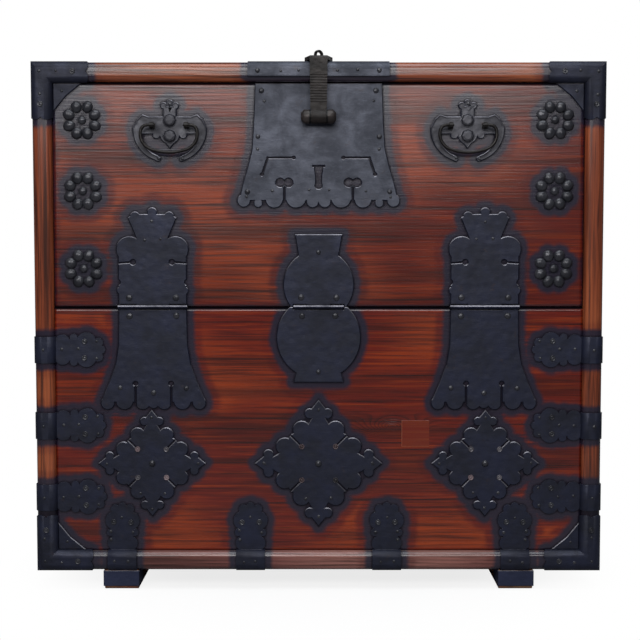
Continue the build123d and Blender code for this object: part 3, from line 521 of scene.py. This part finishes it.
# Painted highlight: the pale grey laid on iron faces turned up.
EDGE_HIGHLIGHT = (0.180, 0.176, 0.200)
IRON_GRAIN = 420.0
IRON_RUBBED = 26.0
IRON_WAVES = 7.0
IRON_PITS = 60.0
IRON_STREAKS = (90.0, 90.0, 260.0)
IRON_PATCHES = (0.28, 0.84)
STREAKS_PALE = (0.52, 0.80, 0.0, 0.75)
STREAKS_DARK = (0.22, 0.46, 0.70, 0.0)
RUST_SPOTS = (0.60, 0.78, 0.0, 0.5)
# Which faces turned up get the painted highlight, and in what patches.
HIGHLIGHT_FACING_UP = (0.10, 0.50)
HIGHLIGHT_PATCHES = (0.30, 0.55, 0.35, 1.0)
IRON_POLISH = (0.3, 0.7)
IRON_DULLER = 0.08
IRON_BRIGHTER = 0.06
GRAIN_DULLS = 0.12
WRAPPED_EDGE = 0.0008


def blackened_iron(name, dark, pale, gloss, dimple, metal=0.35, deep=0.0008, highlight=None, specular=0.38):
    """Hammered black iron: broad soft dents, fine grain, dull patches and, where asked, a painted highlight
    on faces turned up.
    """
    iron = Finish(name, specular=specular, metal=metal)
    dented = {"Vector": iron.place, "Scale": dimple, "Smoothness": 1.0}
    dents = iron.step("TexVoronoi", dented, feature="SMOOTH_F1")["Distance"]
    grain = iron.cloud(iron.place, IRON_GRAIN, rough=0.6)
    rubbed = iron.cloud(iron.place, IRON_RUBBED, detail=4.0, rough=0.6, twist=0.4)
    waves = iron.cloud(iron.place, IRON_WAVES, detail=2.0)
    streaks = iron.cloud(iron.stretched(IRON_STREAKS), detail=5.0, rough=0.7)
    pits = iron.cloud(iron.place, IRON_PITS, detail=5.0, rough=0.7)
    pale_patches = iron.fade(rubbed, *IRON_PATCHES)
    pale_streaks = iron.fade(streaks, *STREAKS_PALE)
    dark_streaks = iron.fade(streaks, *STREAKS_DARK)
    rusted = iron.fade(pits, *RUST_SPOTS)
    iron.paint(dark, (pale_patches, pale), (pale_streaks, pale), (dark_streaks, dark), (rusted, IRON_RUST))
    if highlight is not None:
        # Faces turned up get a painted highlight.
        facing = iron.split(iron.step("NewGeometry")["True Normal"])
        upper = iron.times(iron.fade(facing["Z"], *HIGHLIGHT_FACING_UP), iron.fade(rubbed, *HIGHLIGHT_PATCHES))
        iron.paint(iron.colour, (upper, highlight))
    polish = iron.fade(rubbed, *IRON_POLISH, gloss + IRON_DULLER, gloss - IRON_BRIGHTER)
    iron.give("Roughness", iron.heap((polish, 1.0), (grain, GRAIN_DULLS)))
    iron.relief(iron.heap((dents, 0.8), (grain, 0.12), (streaks, 0.35), (rubbed, 0.22), (waves, 1.4)), deep)
    return iron


sheet_iron = blackened_iron("sheet_iron", IRON_DARK, IRON_PALE, gloss=0.46, dimple=85.0)
# This finish paints a highlight on the upturned faces of rounded edges, filed slopes and hinge barrels.
highlight_edge = blackened_iron(
    "highlight_edge_iron", IRON_DARK, IRON_PALE, gloss=0.38, dimple=200.0, metal=0.7, deep=0.0003, highlight=EDGE_HIGHLIGHT
)


def round_and_highlight(node_name, iron):
    """Gives a folded iron its finish and its rounded edges, with a painted highlight where they face up."""
    finish_with(nodes[node_name], iron, highlight_edge)
    soften(nodes[node_name], WRAPPED_EDGE, edge_finish=1)


for node_name in ("side_straps", "bottom_straps", "corner_irons"):
    round_and_highlight(node_name, sheet_iron)

# -------------------------------------------------------------------------- foot shoes
# Folded iron shoes nailed over the front ends of the two runners. They are painted a
# bluer, paler iron than the plates above, as painted light where their fronts catch the lamps.
# Painted light: these bluer, paler tones stand in for the light on the shoes' fronts.
SHOE_LIT_DARK = (0.0150, 0.0190, 0.0460)
SHOE_LIT_PALE = (0.0280, 0.0350, 0.0760)
lit_shoe_iron = blackened_iron("lit_shoe_iron", SHOE_LIT_DARK, SHOE_LIT_PALE, gloss=0.40, dimple=85.0)
round_and_highlight("foot_shoes", lit_shoe_iron)

# ----------------------------------------------------- diamonds, hinges, corner plates
# Flat plates of the same thin iron, cut out with a chisel, their front edges filed to
# a slope, and nailed to the boards. The hinge leaves end in barrels rolled round a pin.
FACES_FRONT = -0.995
SAME_LEVEL = 2e-4
LEVEL_DIGITS = 4
FILED_SLOPE = 0.0012
FILED_DEEP = 0.0010
RIM_DEEP = 0.0006
BARREL_AHEAD = 0.0012


def depth_of(face):
    """Where a face lies from front to back."""
    return face.calc_center_median().y


def main_level(faces):
    """The depth at which most of a plate's front lies."""
    levels = [round(depth_of(face), LEVEL_DIGITS) for face in faces]
    return max(levels, key=lambda y: sum(f.calc_area() for f in faces if abs(depth_of(f) - y) < SAME_LEVEL))


def filed_plate(name, body, iron, rim=0.0):
    """A copy of a flat plate, its front edge filed to a slope that takes a painted highlight and, if asked,
    a raised rim.
    """
    work = bmesh.new()
    work.from_mesh(nodes[name].data)
    bmesh.ops.remove_doubles(work, verts=work.verts, dist=SAME_POINT)
    facing = [f for f in work.faces if f.normal.y < FACES_FRONT]
    front = main_level(facing)
    field = [f for f in facing if abs(depth_of(f) - front) < SAME_LEVEL]
    sloped = bmesh.ops.inset_region(
        work, faces=field, thickness=FILED_SLOPE, use_even_offset=True, use_boundary=True
    )["faces"]
    inner = {v for f in field for v in f.verts}
    for vertex in {v for f in sloped for v in f.verts} - inner:
        vertex.co.y += FILED_DEEP
    if rim:
        bmesh.ops.inset_region(
            work, faces=field, thickness=rim, depth=-RIM_DEEP, use_even_offset=False, use_boundary=True
        )
    for face in field:
        if face.normal.y > 0:
            face.normal_flip()
    # The filed slope and a hinge's barrel take the painted highlight finish.
    rolled = [f for f in work.faces if "hinge" in name and depth_of(f) < front - BARREL_AHEAD]
    for face in list(sloped) + rolled:
        face.material_index = 1
    mesh = bpy.data.meshes.new(name + "_filed")
    work.to_mesh(mesh)
    work.free()
    plate = new_piece(name + "_filed", mesh, iron, highlight_edge)
    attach(plate, body)
    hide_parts(name)


for node_name, body in (
    ("diamond_plates", "carcass"),
    ("centre_hinge_lower_leaf", "carcass"),
    ("side_hinge_lower_leaves", "carcass"),
    ("panel_corner_plates", "carcass"),
    ("centre_hinge_upper_leaf", "door"),
    ("side_hinge_upper_leaves", "door"),
    ("door_corner_plates", "door"),
):
    filed_plate(node_name, body, sheet_iron)

# ------------------------------------------------------- lock plate and top edge plate
# The flared lock plate is nailed to the door, and above it a plate is folded over the
# top board's edge under the hasp. Both are sheet iron like the rest, painted a paler
# grey as a painted sheen from the lamps above.
# Painted sheen: this paler grey stands in for light from the lamps above.
LOCK_SHEEN_DARK = (0.018, 0.021, 0.032)
LOCK_SHEEN_PALE = (0.062, 0.068, 0.092)
sheened_lock_iron = blackened_iron("sheened_lock_iron", LOCK_SHEEN_DARK, LOCK_SHEEN_PALE, gloss=0.42, dimple=60.0)
filed_plate("lock_plate", "door", sheened_lock_iron)
round_and_highlight("top_edge_plate", sheened_lock_iron)

# ----------------------------------------------------------------------- handle plates
# Iron plates cut as bats behind the two front bails, with a raised rim left round a
# sunk field, and held by the bails' eye posts and small nails.
BAT_DARK = (0.019, 0.019, 0.025)
BAT_PALE = (0.062, 0.062, 0.074)
BAT_RIM = 0.0019
bat_iron = blackened_iron("handle_plate_iron", BAT_DARK, BAT_PALE, gloss=0.40, dimple=120.0)
filed_plate("handle_plates", "door", bat_iron, rim=BAT_RIM)

# ------------------------------------------------------------------ nails and rosettes
# Hand-forged nails with round heads. Eight large ones round a middle one make each
# rosette on the door; they are clinched into the battens behind.
NAIL_DARK = (0.012, 0.0125, 0.017)
NAIL_PALE = (0.048, 0.049, 0.058)
nail_iron = blackened_iron("nail_iron", NAIL_DARK, NAIL_PALE, gloss=0.22, dimple=190.0, metal=0.3)


def heads_of(name):
    """Finds each loose solid of a node of nails: its lowest and highest corner."""
    work = bmesh.new()
    work.from_mesh(nodes[name].data)
    bmesh.ops.remove_doubles(work, verts=work.verts, dist=SAME_POINT)
    seen, boxes = set(), []
    for start in work.verts:
        if start in seen:
            continue
        seen.add(start)
        piece, reach = [start], [start]
        while reach:
            for edge in reach.pop().link_edges:
                for vertex in edge.verts:
                    if vertex not in seen:
                        seen.add(vertex)
                        piece.append(vertex)
                        reach.append(vertex)
        low = Vector([min(v.co[axis] for v in piece) for axis in range(3)])
        high = Vector([max(v.co[axis] for v in piece) for axis in range(3)])
        boxes.append((low, high))
    work.free()
    return boxes


def turned(heads, profile, seat, way, stretch=1.0, lean=0.0, sides=20):
    """Adds one round head to the others: rings of (radius, height) about an axis, drawn out one way."""
    upwards = Vector((0, 0, 1))
    across = upwards.cross(way).normalized()
    rings = []
    for radius, height in profile:
        ring = []
        for step in range(sides):
            turn = 2 * pi * step / sides
            wide, tall = radius * cos(turn) * stretch, radius * sin(turn)
            level = wide * cos(lean) - tall * sin(lean)
            upright = wide * sin(lean) + tall * cos(lean)
            ring.append(heads.verts.new(seat + across * level + upwards * upright + way * height))
        rings.append(ring)
    for lower, upper in zip(rings, rings[1:]):
        for step in range(sides):
            after = (step + 1) % sides
            heads.faces.new((lower[step], lower[after], upper[after], upper[step]))
    heads.faces.new(rings[-1])


FOOT_SUNK = 0.0002
CROWN_FLAT = 0.08
DOME_RINGS = 6


def dome(radius, height):
    """Profile of a hammered round head, from its foot to its crown."""
    angles = [pi / 2 * ring / DOME_RINGS for ring in range(DOME_RINGS + 1)]
    return [(radius * max(cos(a), CROWN_FLAT), height * sin(a) - FOOT_SUNK * (a == 0)) for a in angles]


HEAD_BEND = radians(50)


def heads_piece(name, heads, body, iron):
    """Makes one piece of the turned heads and fixes it to a body."""
    bmesh.ops.recalc_face_normals(heads, faces=heads.faces)
    piece = new_piece(name, smooth_mesh(name, heads, HEAD_BEND), iron)
    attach(piece, body)
    return piece


FRONT = Vector((0, -1, 0))
# Where each kind of nail sits: on the chest's sides, the diamonds, the rosettes, the
# straps, and the hinges by the seam.
SIDES_FROM = 0.440
DIAMOND_X = 0.266
DIAMOND_Z = 0.203
DIAMOND_NEAR_X = 0.006
DIAMOND_NEAR_Z = 0.004
ROSETTE_X = 0.372
ROSETTE_Z = (0.514, 0.636, 0.747)
STRAPS_FROM = 0.345
STRAPS_BELOW = 0.130
SEAM_NAILS_Z = 0.453
SEAM_NAILS_REACH = 0.028
# The rosettes' balls and middle nails are known by the size of their solids. Each kind
# of head has its radius, its height, how deep its foot is sunk and how much it varies.
BALL_OVER = 0.0070
BALL_R = 0.0086
BALL_HIGH = 0.0058
BALL_SUNK = 0.0050
BALL_STRETCH = 1.12
BALL_VARIES = (0.97, 1.02)
MIDDLE_OVER = 0.0055
MIDDLE_HIGH = 0.0042
MIDDLE_SUNK = 0.0040
MIDDLE_VARIES = (1.0, 1.06)
DIAMOND_NAIL_R = 0.0054
DOME_HIGH = 0.0022
NAIL_SUNK = 0.0022
NAIL_STRETCH = (0.94, 1.05)
SEAM_NAIL_VARIES = (0.95, 1.05)
SMALL_NAIL_VARIES = (0.74, 0.90)
RINGED_SHARE = 0.92
RINGED = [
    (1.00, -FOOT_SUNK), (0.98, 0.0007), (0.88, 0.0011), (0.72, 0.0010), (0.60, 0.0006),
    (0.42, 0.0006), (0.28, 0.0010), (0.08, 0.0012),
]
NAIL_STRAY = 0.0004
NAIL_SEED = 7
dice = random.Random(NAIL_SEED)


def head_shape(middle, radius):
    """Picks a nail's head by its size and place: its profile and how deep its foot goes."""
    if radius > BALL_OVER:
        return dome(BALL_R * dice.uniform(*BALL_VARIES), BALL_HIGH), BALL_SUNK
    if radius > MIDDLE_OVER:
        return dome(radius * dice.uniform(*MIDDLE_VARIES), MIDDLE_HIGH), MIDDLE_SUNK
    if abs(middle.x) > STRAPS_FROM or middle.z < STRAPS_BELOW:
        return [(r * radius * RINGED_SHARE, h) for r, h in RINGED], NAIL_SUNK
    off_diamond = min(abs(abs(middle.x) - x) for x in (0.0, DIAMOND_X))
    if off_diamond < DIAMOND_NEAR_X and abs(middle.z - DIAMOND_Z) < DIAMOND_NEAR_Z:
        return dome(DIAMOND_NAIL_R, MIDDLE_HIGH), NAIL_SUNK
    if abs(middle.z - SEAM_NAILS_Z) < SEAM_NAILS_REACH:
        return dome(radius * dice.uniform(*SEAM_NAIL_VARIES), DOME_HIGH), NAIL_SUNK
    return dome(radius * dice.uniform(*SMALL_NAIL_VARIES), DOME_HIGH), NAIL_SUNK


for node_name, body in (
    ("carcass_nails", "carcass"), ("door_nails", "door"),
    ("left_rosettes", "door"), ("right_rosettes", "door"),
):
    heads = bmesh.new()
    for low, high in heads_of(node_name):
        middle = (low + high) / 2
        if abs(middle.x) < SIDES_FROM:
            way, radius = FRONT, (high.x - low.x) / 2
            foot = Vector((middle.x, low.y, middle.z))
        else:
            side = 1 if middle.x > 0 else -1
            way, radius = Vector((side, 0, 0)), (high.z - low.z) / 2
            foot = Vector((high.x if side > 0 else low.x, middle.y, middle.z))
        stretch, lean = dice.uniform(*NAIL_STRETCH), 0.0
        shape, sunk = head_shape(middle, radius)
        if radius > BALL_OVER:
            rise = min((middle.z - z for z in ROSETTE_Z), key=abs)
            stretch, lean = BALL_STRETCH, atan2(rise, middle.x - copysign(ROSETTE_X, middle.x))
        stray = Vector((dice.uniform(-1, 1), 0, dice.uniform(-1, 1))) * NAIL_STRAY
        turned(heads, shape, foot - way * sunk + stray, way, stretch, lean)
    piece = heads_piece(node_name + "_forged", heads, body, nail_iron)
    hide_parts(node_name)

# ------------------------------------------------------------------- small plate nails
# Between the large nails every plate is also held by small round tacks, forged like
# the nails. Each place is given for the right half and repeated on the left.
TACK_R = 0.0024
TACK_HIGH = 0.0011
TACK_SIDES = 12
TACK_STRAY = 0.0012
TACK_VARIES = (0.85, 1.15)
on_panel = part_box("diamond_plates")[0].y
on_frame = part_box("corner_irons")[0].y
carcass_tacks = []

STRAP_Z = (0.3851, 0.2639, 0.1492)
STRAP_HEAD_TACKS = ((0.407, 0.0), (0.352, 0.014), (0.352, -0.014), (0.383, 0.001))
STRAP_EDGE_TACK = 0.4365
for z in STRAP_Z:
    for x, rise in STRAP_HEAD_TACKS:
        carcass_tacks.append((x, z + rise, on_panel))
    carcass_tacks.append((STRAP_EDGE_TACK, z, on_frame))

BOTTOM_STRAP_X = (0.314, 0.109)
BOTTOM_HEAD_TACKS = ((0.018, 0.094), (-0.017, 0.091), (0.001, 0.116), (0.018, 0.080))
BOTTOM_EDGE_TACKS = ((-0.009, 0.047), (0.011, 0.046))
for x in BOTTOM_STRAP_X:
    for aside, z in BOTTOM_HEAD_TACKS:
        carcass_tacks.append((x + aside, z, on_panel))
    for aside, z in BOTTOM_EDGE_TACKS:
        carcass_tacks.append((x + aside, z, on_frame))

# Each diamond has its middle and its petals' reach, the side ones smaller than the middle one.
PETALS = ((0.0, 0.0270), (DIAMOND_X, 0.0228))
TIP_SHARE = 3.2
LOWER_SHARE = 2.1
LOWER_ASIDE = 0.020
for x, petal in PETALS:
    tip, lower = petal * TIP_SHARE, petal * LOWER_SHARE
    for aside, rise in (
        (0.0, tip), (0.0, -tip), (tip, 0.0), (-tip, 0.0), (LOWER_ASIDE, -lower), (-LOWER_ASIDE, -lower),
    ):
        carcass_tacks.append((x + aside, DIAMOND_Z + rise, on_panel))

UPPER_CORNER_TACKS = ((0.437, 0.822), (0.409, 0.823), (0.436, 0.786))
LOWER_CORNER_TACKS = ((0.437, 0.046), (0.409, 0.045), (0.436, 0.084))
TOP_PLATE_TACKS = ((0.060, 0.823), (0.030, 0.822))
PANEL_CORNER_TACK = (0.404, 0.076)
for x, z in UPPER_CORNER_TACKS + LOWER_CORNER_TACKS + TOP_PLATE_TACKS:
    carcass_tacks.append((x, z, on_frame))
carcass_tacks.append((*PANEL_CORNER_TACK, on_panel))

DOOR_CORNER_TACK = (0.404, 0.793)
LOCK_TACKS = ((0.086, 0.777), (0.096, 0.702), (0.074, 0.637), (0.016, 0.637), (0.114, 0.626))
BAT_TACKS = ((0.234, 0.773), (0.2155, 0.687), (0.2525, 0.687))
SIDE_HINGE_TACKS = ((0.263, 0.588), (0.250, 0.560), (0.276, 0.560))
door_tacks = []
for x, z in (DOOR_CORNER_TACK, *LOCK_TACKS, *BAT_TACKS, *SIDE_HINGE_TACKS):
    door_tacks.append((x, z, on_panel))

for body, places in (("carcass", carcass_tacks), ("door", door_tacks)):
    heads = bmesh.new()
    for x, z, seat in places:
        for side in (-1, 1):
            stray_x = dice.uniform(-1, 1) * TACK_STRAY
            stray_z = dice.uniform(-1, 1) * TACK_STRAY
            spot = Vector((side * (x + stray_x), seat, z + stray_z))
            shape = dome(TACK_R * dice.uniform(*TACK_VARIES), TACK_HIGH)
            turned(heads, shape, spot, FRONT, sides=TACK_SIDES)
    heads_piece(f"{body}_tacks", heads, body, nail_iron)

# ---------------------------------------------------------------- ringed diamond nails
# Four flat nails with a ringed head hold the petals of each diamond. They are forged
# like the others, and most of them are rubbed or rusted to a reddish grey.
RING_R = 0.0044
RING_SIDES = 16
RUBBED_SHARE = 0.65
RING_DARK = (0.040, 0.038, 0.045)
RING_PALE = (0.120, 0.112, 0.126)
RUBBED_DARK = (0.100, 0.070, 0.078)
RUBBED_PALE = (0.220, 0.165, 0.175)
ring_iron = blackened_iron("ringed_nail_iron", RING_DARK, RING_PALE, gloss=0.34, dimple=300.0, metal=0.3)
rubbed_iron = blackened_iron(
    "rubbed_nail_iron", RUBBED_DARK, RUBBED_PALE, gloss=0.50, dimple=300.0, metal=0.1
)
dark_rings, pale_rings = bmesh.new(), bmesh.new()
shape = [(r * RING_R, h) for r, h in RINGED]
for x, petal in PETALS:
    for aside, rise in ((-petal, -petal), (-petal, petal), (petal, -petal), (petal, petal)):
        for side in (-1, 1):
            chosen = pale_rings if dice.random() < RUBBED_SHARE else dark_rings
            seat = Vector((side * (x + aside), on_panel, DIAMOND_Z + rise))
            turned(chosen, shape, seat, FRONT, sides=RING_SIDES)
heads_piece("diamond_ringed_nails", dark_rings, "carcass", ring_iron)
heads_piece("diamond_rubbed_nails", pale_rings, "carcass", rubbed_iron)

# ---------------------------------------------------------- bails, posts, pins and eye
# The carrying handles with their eye posts, the hinge pins and the padlock eye are
# forged bar iron, the bails hung in their posts, all worn smooth and brown by use.
FORGED_DARK = (0.0050, 0.0042, 0.0042)
FORGED_PALE = (0.0150, 0.0125, 0.0120)
FORGED_EDGE = 0.00045
FORGED_BEND = radians(50)
forged_iron = blackened_iron("forged_iron", FORGED_DARK, FORGED_PALE, gloss=0.37, dimple=150.0, metal=0.5)
for node_name in (
    "hasp_pin", "hasp_staple", "hinge_pins", "handle_posts", "left_bail", "right_bail",
    "side_handle_posts", "left_side_bail", "right_side_bail",
):
    finish_with(nodes[node_name], forged_iron)
    soften(nodes[node_name], FORGED_EDGE, bend=FORGED_BEND)

# -------------------------------------------------------------------------------- hasp
# A forged bar with filed reeds that turns between two domed knobs on the door. The
# knobs are rubbed brown and painted darker in narrow bands at the joints beside the bar's knuckle.
HASP_DARK = (0.0160, 0.0130, 0.0125)
HASP_PALE = (0.0560, 0.0450, 0.0430)
BAR_PALE = (0.0260, 0.0205, 0.0190)
JOINT_DARK = (0.001, 0.001, 0.001)
JOINT_DARK_WIDE = 0.0026
JOINT_DARK_CORE = 0.4
JOINT_INSIDE = 0.0004
joint_at = min(abs(v.co.x) for v in nodes["hasp_knobs"].data.vertices) + JOINT_INSIDE
knob_iron = blackened_iron(
    "hasp_iron", HASP_DARK, HASP_PALE, gloss=0.33, dimple=150.0, metal=0.4, deep=0.0006
)
aside = knob_iron.sums("ABSOLUTE", knob_iron.split(knob_iron.place)["X"])
off_joint = knob_iron.sums("ABSOLUTE", knob_iron.sums("SUBTRACT", aside, joint_at))
# The knobs are painted darker in narrow bands along the joints beside the knuckle.
dark_joint = knob_iron.fade(off_joint, JOINT_DARK_WIDE * JOINT_DARK_CORE, JOINT_DARK_WIDE, 1.0, 0.0)
knob_iron.paint(knob_iron.colour, (dark_joint, JOINT_DARK))
bar_iron = blackened_iron(
    "hasp_bar_iron", FORGED_DARK, BAR_PALE, gloss=0.42, dimple=150.0, metal=0.1, specular=0.22
)
for node_name, iron in (("hasp_knobs", knob_iron), ("hasp_bar", bar_iron)):
    finish_with(nodes[node_name], iron)
    soften(nodes[node_name], FORGED_EDGE, bend=FORGED_BEND)

# --------------------------------------------------------------------- floor and light
# A pale painted floor that runs into a white backdrop. Three large soft lamps hang
# over it: a window in front, a sky above and a weaker one behind, in a dim room.
WHITE = (1.0, 1.0, 1.0)
FLOOR_TONE = (0.95, 0.95, 0.95)
FLOOR_BOUNCE = (0.26, 0.26, 0.27)
FLOOR_HALF = 12.0
GLOW_FROM = 0.24
GLOW_FULL = 0.55
GLOW_LEAST = 0.80
ROOM_TINT = (0.93, 0.96, 1.0)
ROOM_STRENGTH = 0.14

floor_paint = Finish("pale_floor", roughness=0.8, specular=0.2)
seen = floor_paint.step("LightPath")["Is Camera Ray"]
floor_paint.paint(FLOOR_BOUNCE, (seen, FLOOR_TONE))
away = floor_paint.step("VectorMath", {0: floor_paint.place}, operation="LENGTH")["Value"]
whiter = floor_paint.times(floor_paint.fade(away, GLOW_FROM, GLOW_FULL, GLOW_LEAST, 1.0), seen)
lit = floor_paint.shader.outputs["BSDF"]
glow = floor_paint.step("Emission", {"Color": WHITE})["Emission"]
surface = floor_paint.step("MixShader", {0: whiter, 1: lit, 2: glow})["Shader"]
floor_paint.feed(floor_paint.tree.nodes["Material Output"].inputs["Surface"], surface)
mesh = bpy.data.meshes.new("studio_floor")
mesh.from_pydata(
    [(x * FLOOR_HALF, y * FLOOR_HALF, 0) for x, y in ((-1, -1), (1, -1), (1, 1), (-1, 1))],
    [], [(0, 1, 2, 3)],
)
floor = new_piece("studio_floor", mesh, floor_paint)

world = bpy.data.worlds.new("studio")
bpy.context.scene.world = world
world.use_nodes = True
world.node_tree.nodes.clear()
studio = Recipe(world.node_tree)
room = studio.step("Background", {"Color": ROOM_TINT, "Strength": ROOM_STRENGTH})["Background"]
backdrop = studio.step("Background", {"Color": WHITE, "Strength": 1.0})["Background"]
seen = studio.step("LightPath")["Is Camera Ray"]
surround = studio.step("MixShader", {0: seen, 1: room, 2: backdrop})["Shader"]
studio.step("OutputWorld", {"Surface": surround})


def soft_lamp(name, place, aim, size, watts, colour):
    """A large soft lamp that points at a place."""
    light = bpy.data.lights.new(name, "AREA")
    light.shape = "RECTANGLE"
    light.size, light.size_y = size
    light.energy = watts
    light.color = colour
    lamp = bpy.data.objects.new(name, light)
    bpy.context.scene.collection.objects.link(lamp)
    lamp.location = place
    lamp.rotation_euler = (Vector(aim) - Vector(place)).to_track_quat("-Z", "Y").to_euler()


soft_lamp(
    "window_lamp", place=(-0.3, -2.35, 1.58), aim=(0, 0, 0.55), size=(2.4, 0.9), watts=52.0,
    colour=(1.0, 0.99, 0.98),
)
soft_lamp(
    "sky_lamp", place=(0.1, -0.75, 2.4), aim=(0, -0.1, 0.6), size=(2.0, 1.2), watts=34.0,
    colour=(0.93, 0.97, 1.0),
)
soft_lamp(
    "back_lamp", place=(0.8, 2.6, 1.7), aim=(0, 0, 0.4), size=(2.2, 1.4), watts=17.0,
    colour=(0.96, 0.98, 1.0),
)

# ------------------------------------------------------------------------------ camera
# Stands two metres in front of the chest on its centre line, a little above its
# middle, and dips very slightly.
CAMERA_PLACE = (0.0022, -2.096, 0.5436)
CAMERA_DIP = 3.364
LENS = 67.2
SENSOR_WIDE = 36.0
eye = bpy.data.cameras.new("front_camera")
eye.lens = LENS
eye.sensor_width = SENSOR_WIDE
camera = bpy.data.objects.new("front_camera", eye)
bpy.context.scene.collection.objects.link(camera)
camera.location = CAMERA_PLACE
camera.rotation_euler = (radians(90 - CAMERA_DIP), 0, 0)
bpy.context.scene.camera = camera
bpy.context.scene.view_settings.view_transform = "Standard"
